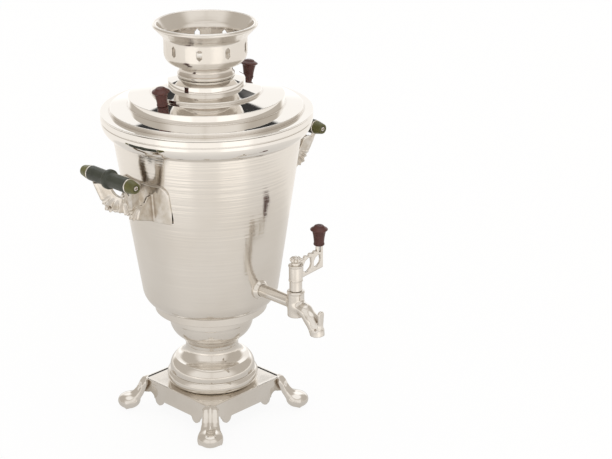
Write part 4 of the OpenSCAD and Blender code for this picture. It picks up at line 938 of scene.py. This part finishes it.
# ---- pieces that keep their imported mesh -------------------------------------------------

FINISH_OF_SLOT = {"steel": STEEL, "brass": BRASS, "rubber": RUBBER, "brown_plastic": BROWN,
                  "green_plastic": GREEN, "olive_plastic": OLIVE, "cast_nickel": CAST,
                  "bright_nickel": BRIGHT, "satin_nickel": SATIN_CROWN}
for part in frame["record"]["subparts"]:
    node = frame["nodes"][part["node"]]
    node.data.materials.clear()
    node.data.materials.append(FINISH_OF_SLOT[part["material_slot"]])


# ---- studio --------------------------------------------------------------------------

CAMERA_AT = Vector((-1.0856, -1.1889, 0.8269))
LOOK = Vector((0.6697, 0.6483, -0.3621))


def studio():
    """A white room: a sweep behind with a dark gap over it, lamp boxes at the sides, a pale
    ceiling, and a table that is plain white to the eye and glows by place in what metal mirrors."""
    world = bpy.data.worlds.new("studio")
    bpy.context.scene.world = world
    world.use_nodes = True
    tree = world.node_tree
    tree.nodes.clear()

    def node(kind, inputs=None, **settings):
        return add_node(tree, kind, inputs, **settings)

    def sums(operation, a, b):
        return node("ShaderNodeMath", {0: a, 1: b}, operation=operation).outputs[0]

    def ramp(value, low, high, start, end):
        return node("ShaderNodeMapRange", {"Value": value, "From Min": start, "From Max": end,
                                           "To Min": low, "To Max": high},
                    interpolation_type="SMOOTHSTEP").outputs[0]

    sky = node("ShaderNodeTexCoord").outputs["Generated"]
    ahead = Vector((LOOK.x, LOOK.y, 0)).normalized()
    along = node("ShaderNodeVectorMath", {0: sky, 1: ahead}, operation="DOT_PRODUCT")
    across = node("ShaderNodeVectorMath", {0: sky, 1: (ahead.y, -ahead.x, 0)},
                  operation="DOT_PRODUCT")
    turn = sums("ARCTAN2", across.outputs["Value"], along.outputs["Value"])
    side = sums("ABSOLUTE", turn, 0.0)
    rise = sums("ARCSINE", node("ShaderNodeSeparateXYZ", {0: sky}).outputs["Z"], 0.0)

    def span(value, start, full, last, end):
        """One between two angles in degrees, zero outside two wider ones."""
        start, full, last, end = (math.radians(v) for v in (start, full, last, end))
        return sums("MULTIPLY", ramp(value, 0.0, 1.0, start, full),
                    ramp(value, 1.0, 0.0, last, end))

    room_level, sweep_level, box_level, ceiling_level = 0.60, 0.70, 0.38, 0.52
    sweep = sums("MULTIPLY", ramp(side, 1.0, 0.0, math.radians(28), math.radians(46)),
                 sums("SUBTRACT", 1.0, sums("MULTIPLY", span(rise, 8, 15, 27, 38), 0.30)))
    boxes = sums("MULTIPLY", span(side, 102, 134, 170, 200), span(rise, -4, 10, 48, 58))
    ceiling = ramp(rise, 0.0, 1.0, math.radians(54), math.radians(66))
    gap = sums("MULTIPLY", span(turn, -21, -18, 8, 12), span(rise, 26.6, 27.4, 36.0, 38.0))
    lit = sums("MAXIMUM", sums("MAXIMUM", sums("MULTIPLY", sweep, sweep_level),
                               sums("MULTIPLY", boxes, box_level)),
               sums("MULTIPLY", ceiling, ceiling_level))
    share = sums("MULTIPLY", lit, 1.0 / sweep_level)
    tint = node("ShaderNodeMix", {"Factor": share, "A": (1.0, 0.925, 0.835, 1),
                                  "B": (1, 1, 1, 1)}, data_type="RGBA").outputs["Result"]
    level = sums("ADD", room_level, lit)
    level = sums("MULTIPLY", level, sums("SUBTRACT", 1.0, sums("MULTIPLY", gap, 0.96)))
    shine = node("ShaderNodeBackground", {"Color": tint, "Strength": level}).outputs[0]
    white = node("ShaderNodeBackground", {"Color": (1, 1, 1, 1), "Strength": 1.0}).outputs[0]
    eye = node("ShaderNodeLightPath").outputs["Is Camera Ray"]
    mixed = node("ShaderNodeMixShader", {0: eye, 1: shine, 2: white}).outputs[0]
    node("ShaderNodeOutputWorld", {"Surface": mixed})

    table = bpy.data.meshes.new("table_top")
    half = 6.0
    table.from_pydata([(-half, -half, 0), (half, -half, 0), (half, half, 0), (-half, half, 0)],
                      [], [(0, 1, 2, 3)])
    top = bpy.data.objects.new("table_top", table)
    bpy.context.scene.collection.objects.link(top)
    paint = bpy.data.materials.new("table_white")
    paint.use_nodes = True
    tree = paint.node_tree
    tree.nodes.clear()
    path = node("ShaderNodeLightPath")
    shown = sums("MAXIMUM", path.outputs["Is Camera Ray"], path.outputs["Is Transmission Ray"])
    shown = sums("MULTIPLY", shown, 0.90)
    place = node("ShaderNodeTexCoord").outputs["Object"]
    away = node("ShaderNodeVectorMath", {0: place}, operation="LENGTH").outputs["Value"]
    toward = node("ShaderNodeVectorMath", {0: place, 1: -ahead}, operation="DOT_PRODUCT")
    aside = node("ShaderNodeVectorMath", {0: place, 1: (ahead.y, -ahead.x, 0)},
                 operation="DOT_PRODUCT")
    bearing = sums("ABSOLUTE", sums("ARCTAN2", aside.outputs["Value"], toward.outputs["Value"]),
                   0.0)
    # What metal mirrors of the table is painted light: painted shade near the foot, where the glow
    # grows with the distance from it, more so in front of it. Half a metre out it grows once more,
    # most in a painted pool of light on either side of the front
    level = sums("ADD", ramp(away, 0.66, 0.84, 0.10, 0.62),
                 sums("MULTIPLY", ramp(bearing, 0.14, 0.0, math.radians(30), math.radians(84)),
                      ramp(away, 0.5, 1.0, 0.10, 0.40)))
    pools = sums("MULTIPLY", span(bearing, 8, 23, 42, 62), ramp(away, 0.0, 0.42, 0.450, 0.520))
    level = sums("ADD", level, sums("MAXIMUM", pools, ramp(away, 0.0, 0.20, 0.51, 0.57)))
    mirrored_glow = node("ShaderNodeEmission", {"Color": (1.0, 0.955, 0.900, 1),
                                                "Strength": level}).outputs[0]
    matt = node("ShaderNodeBsdfDiffuse", {"Color": (0.90, 0.90, 0.90, 1)}).outputs[0]
    glow = node("ShaderNodeEmission", {"Color": (1, 1, 1, 1), "Strength": 1.02}).outputs[0]
    mixed = node("ShaderNodeMixShader", {0: shown, 1: matt, 2: glow}).outputs[0]
    glossy = sums("MULTIPLY", path.outputs["Is Glossy Ray"], 0.80)
    mixed = node("ShaderNodeMixShader", {0: glossy, 1: mixed, 2: mirrored_glow}).outputs[0]
    node("ShaderNodeOutputMaterial", {"Surface": mixed})
    table.materials.append(paint)


studio()
view = bpy.data.cameras.new("view")
view.lens = 98.61
view.sensor_width = 36.0
view.sensor_fit = "HORIZONTAL"
camera = bpy.data.objects.new("view", view)
camera.location = CAMERA_AT
camera.rotation_euler = LOOK.to_track_quat("-Z", "Y").to_euler()
bpy.context.scene.collection.objects.link(camera)
bpy.context.scene.camera = camera
bpy.context.scene.view_settings.view_transform = "Standard"
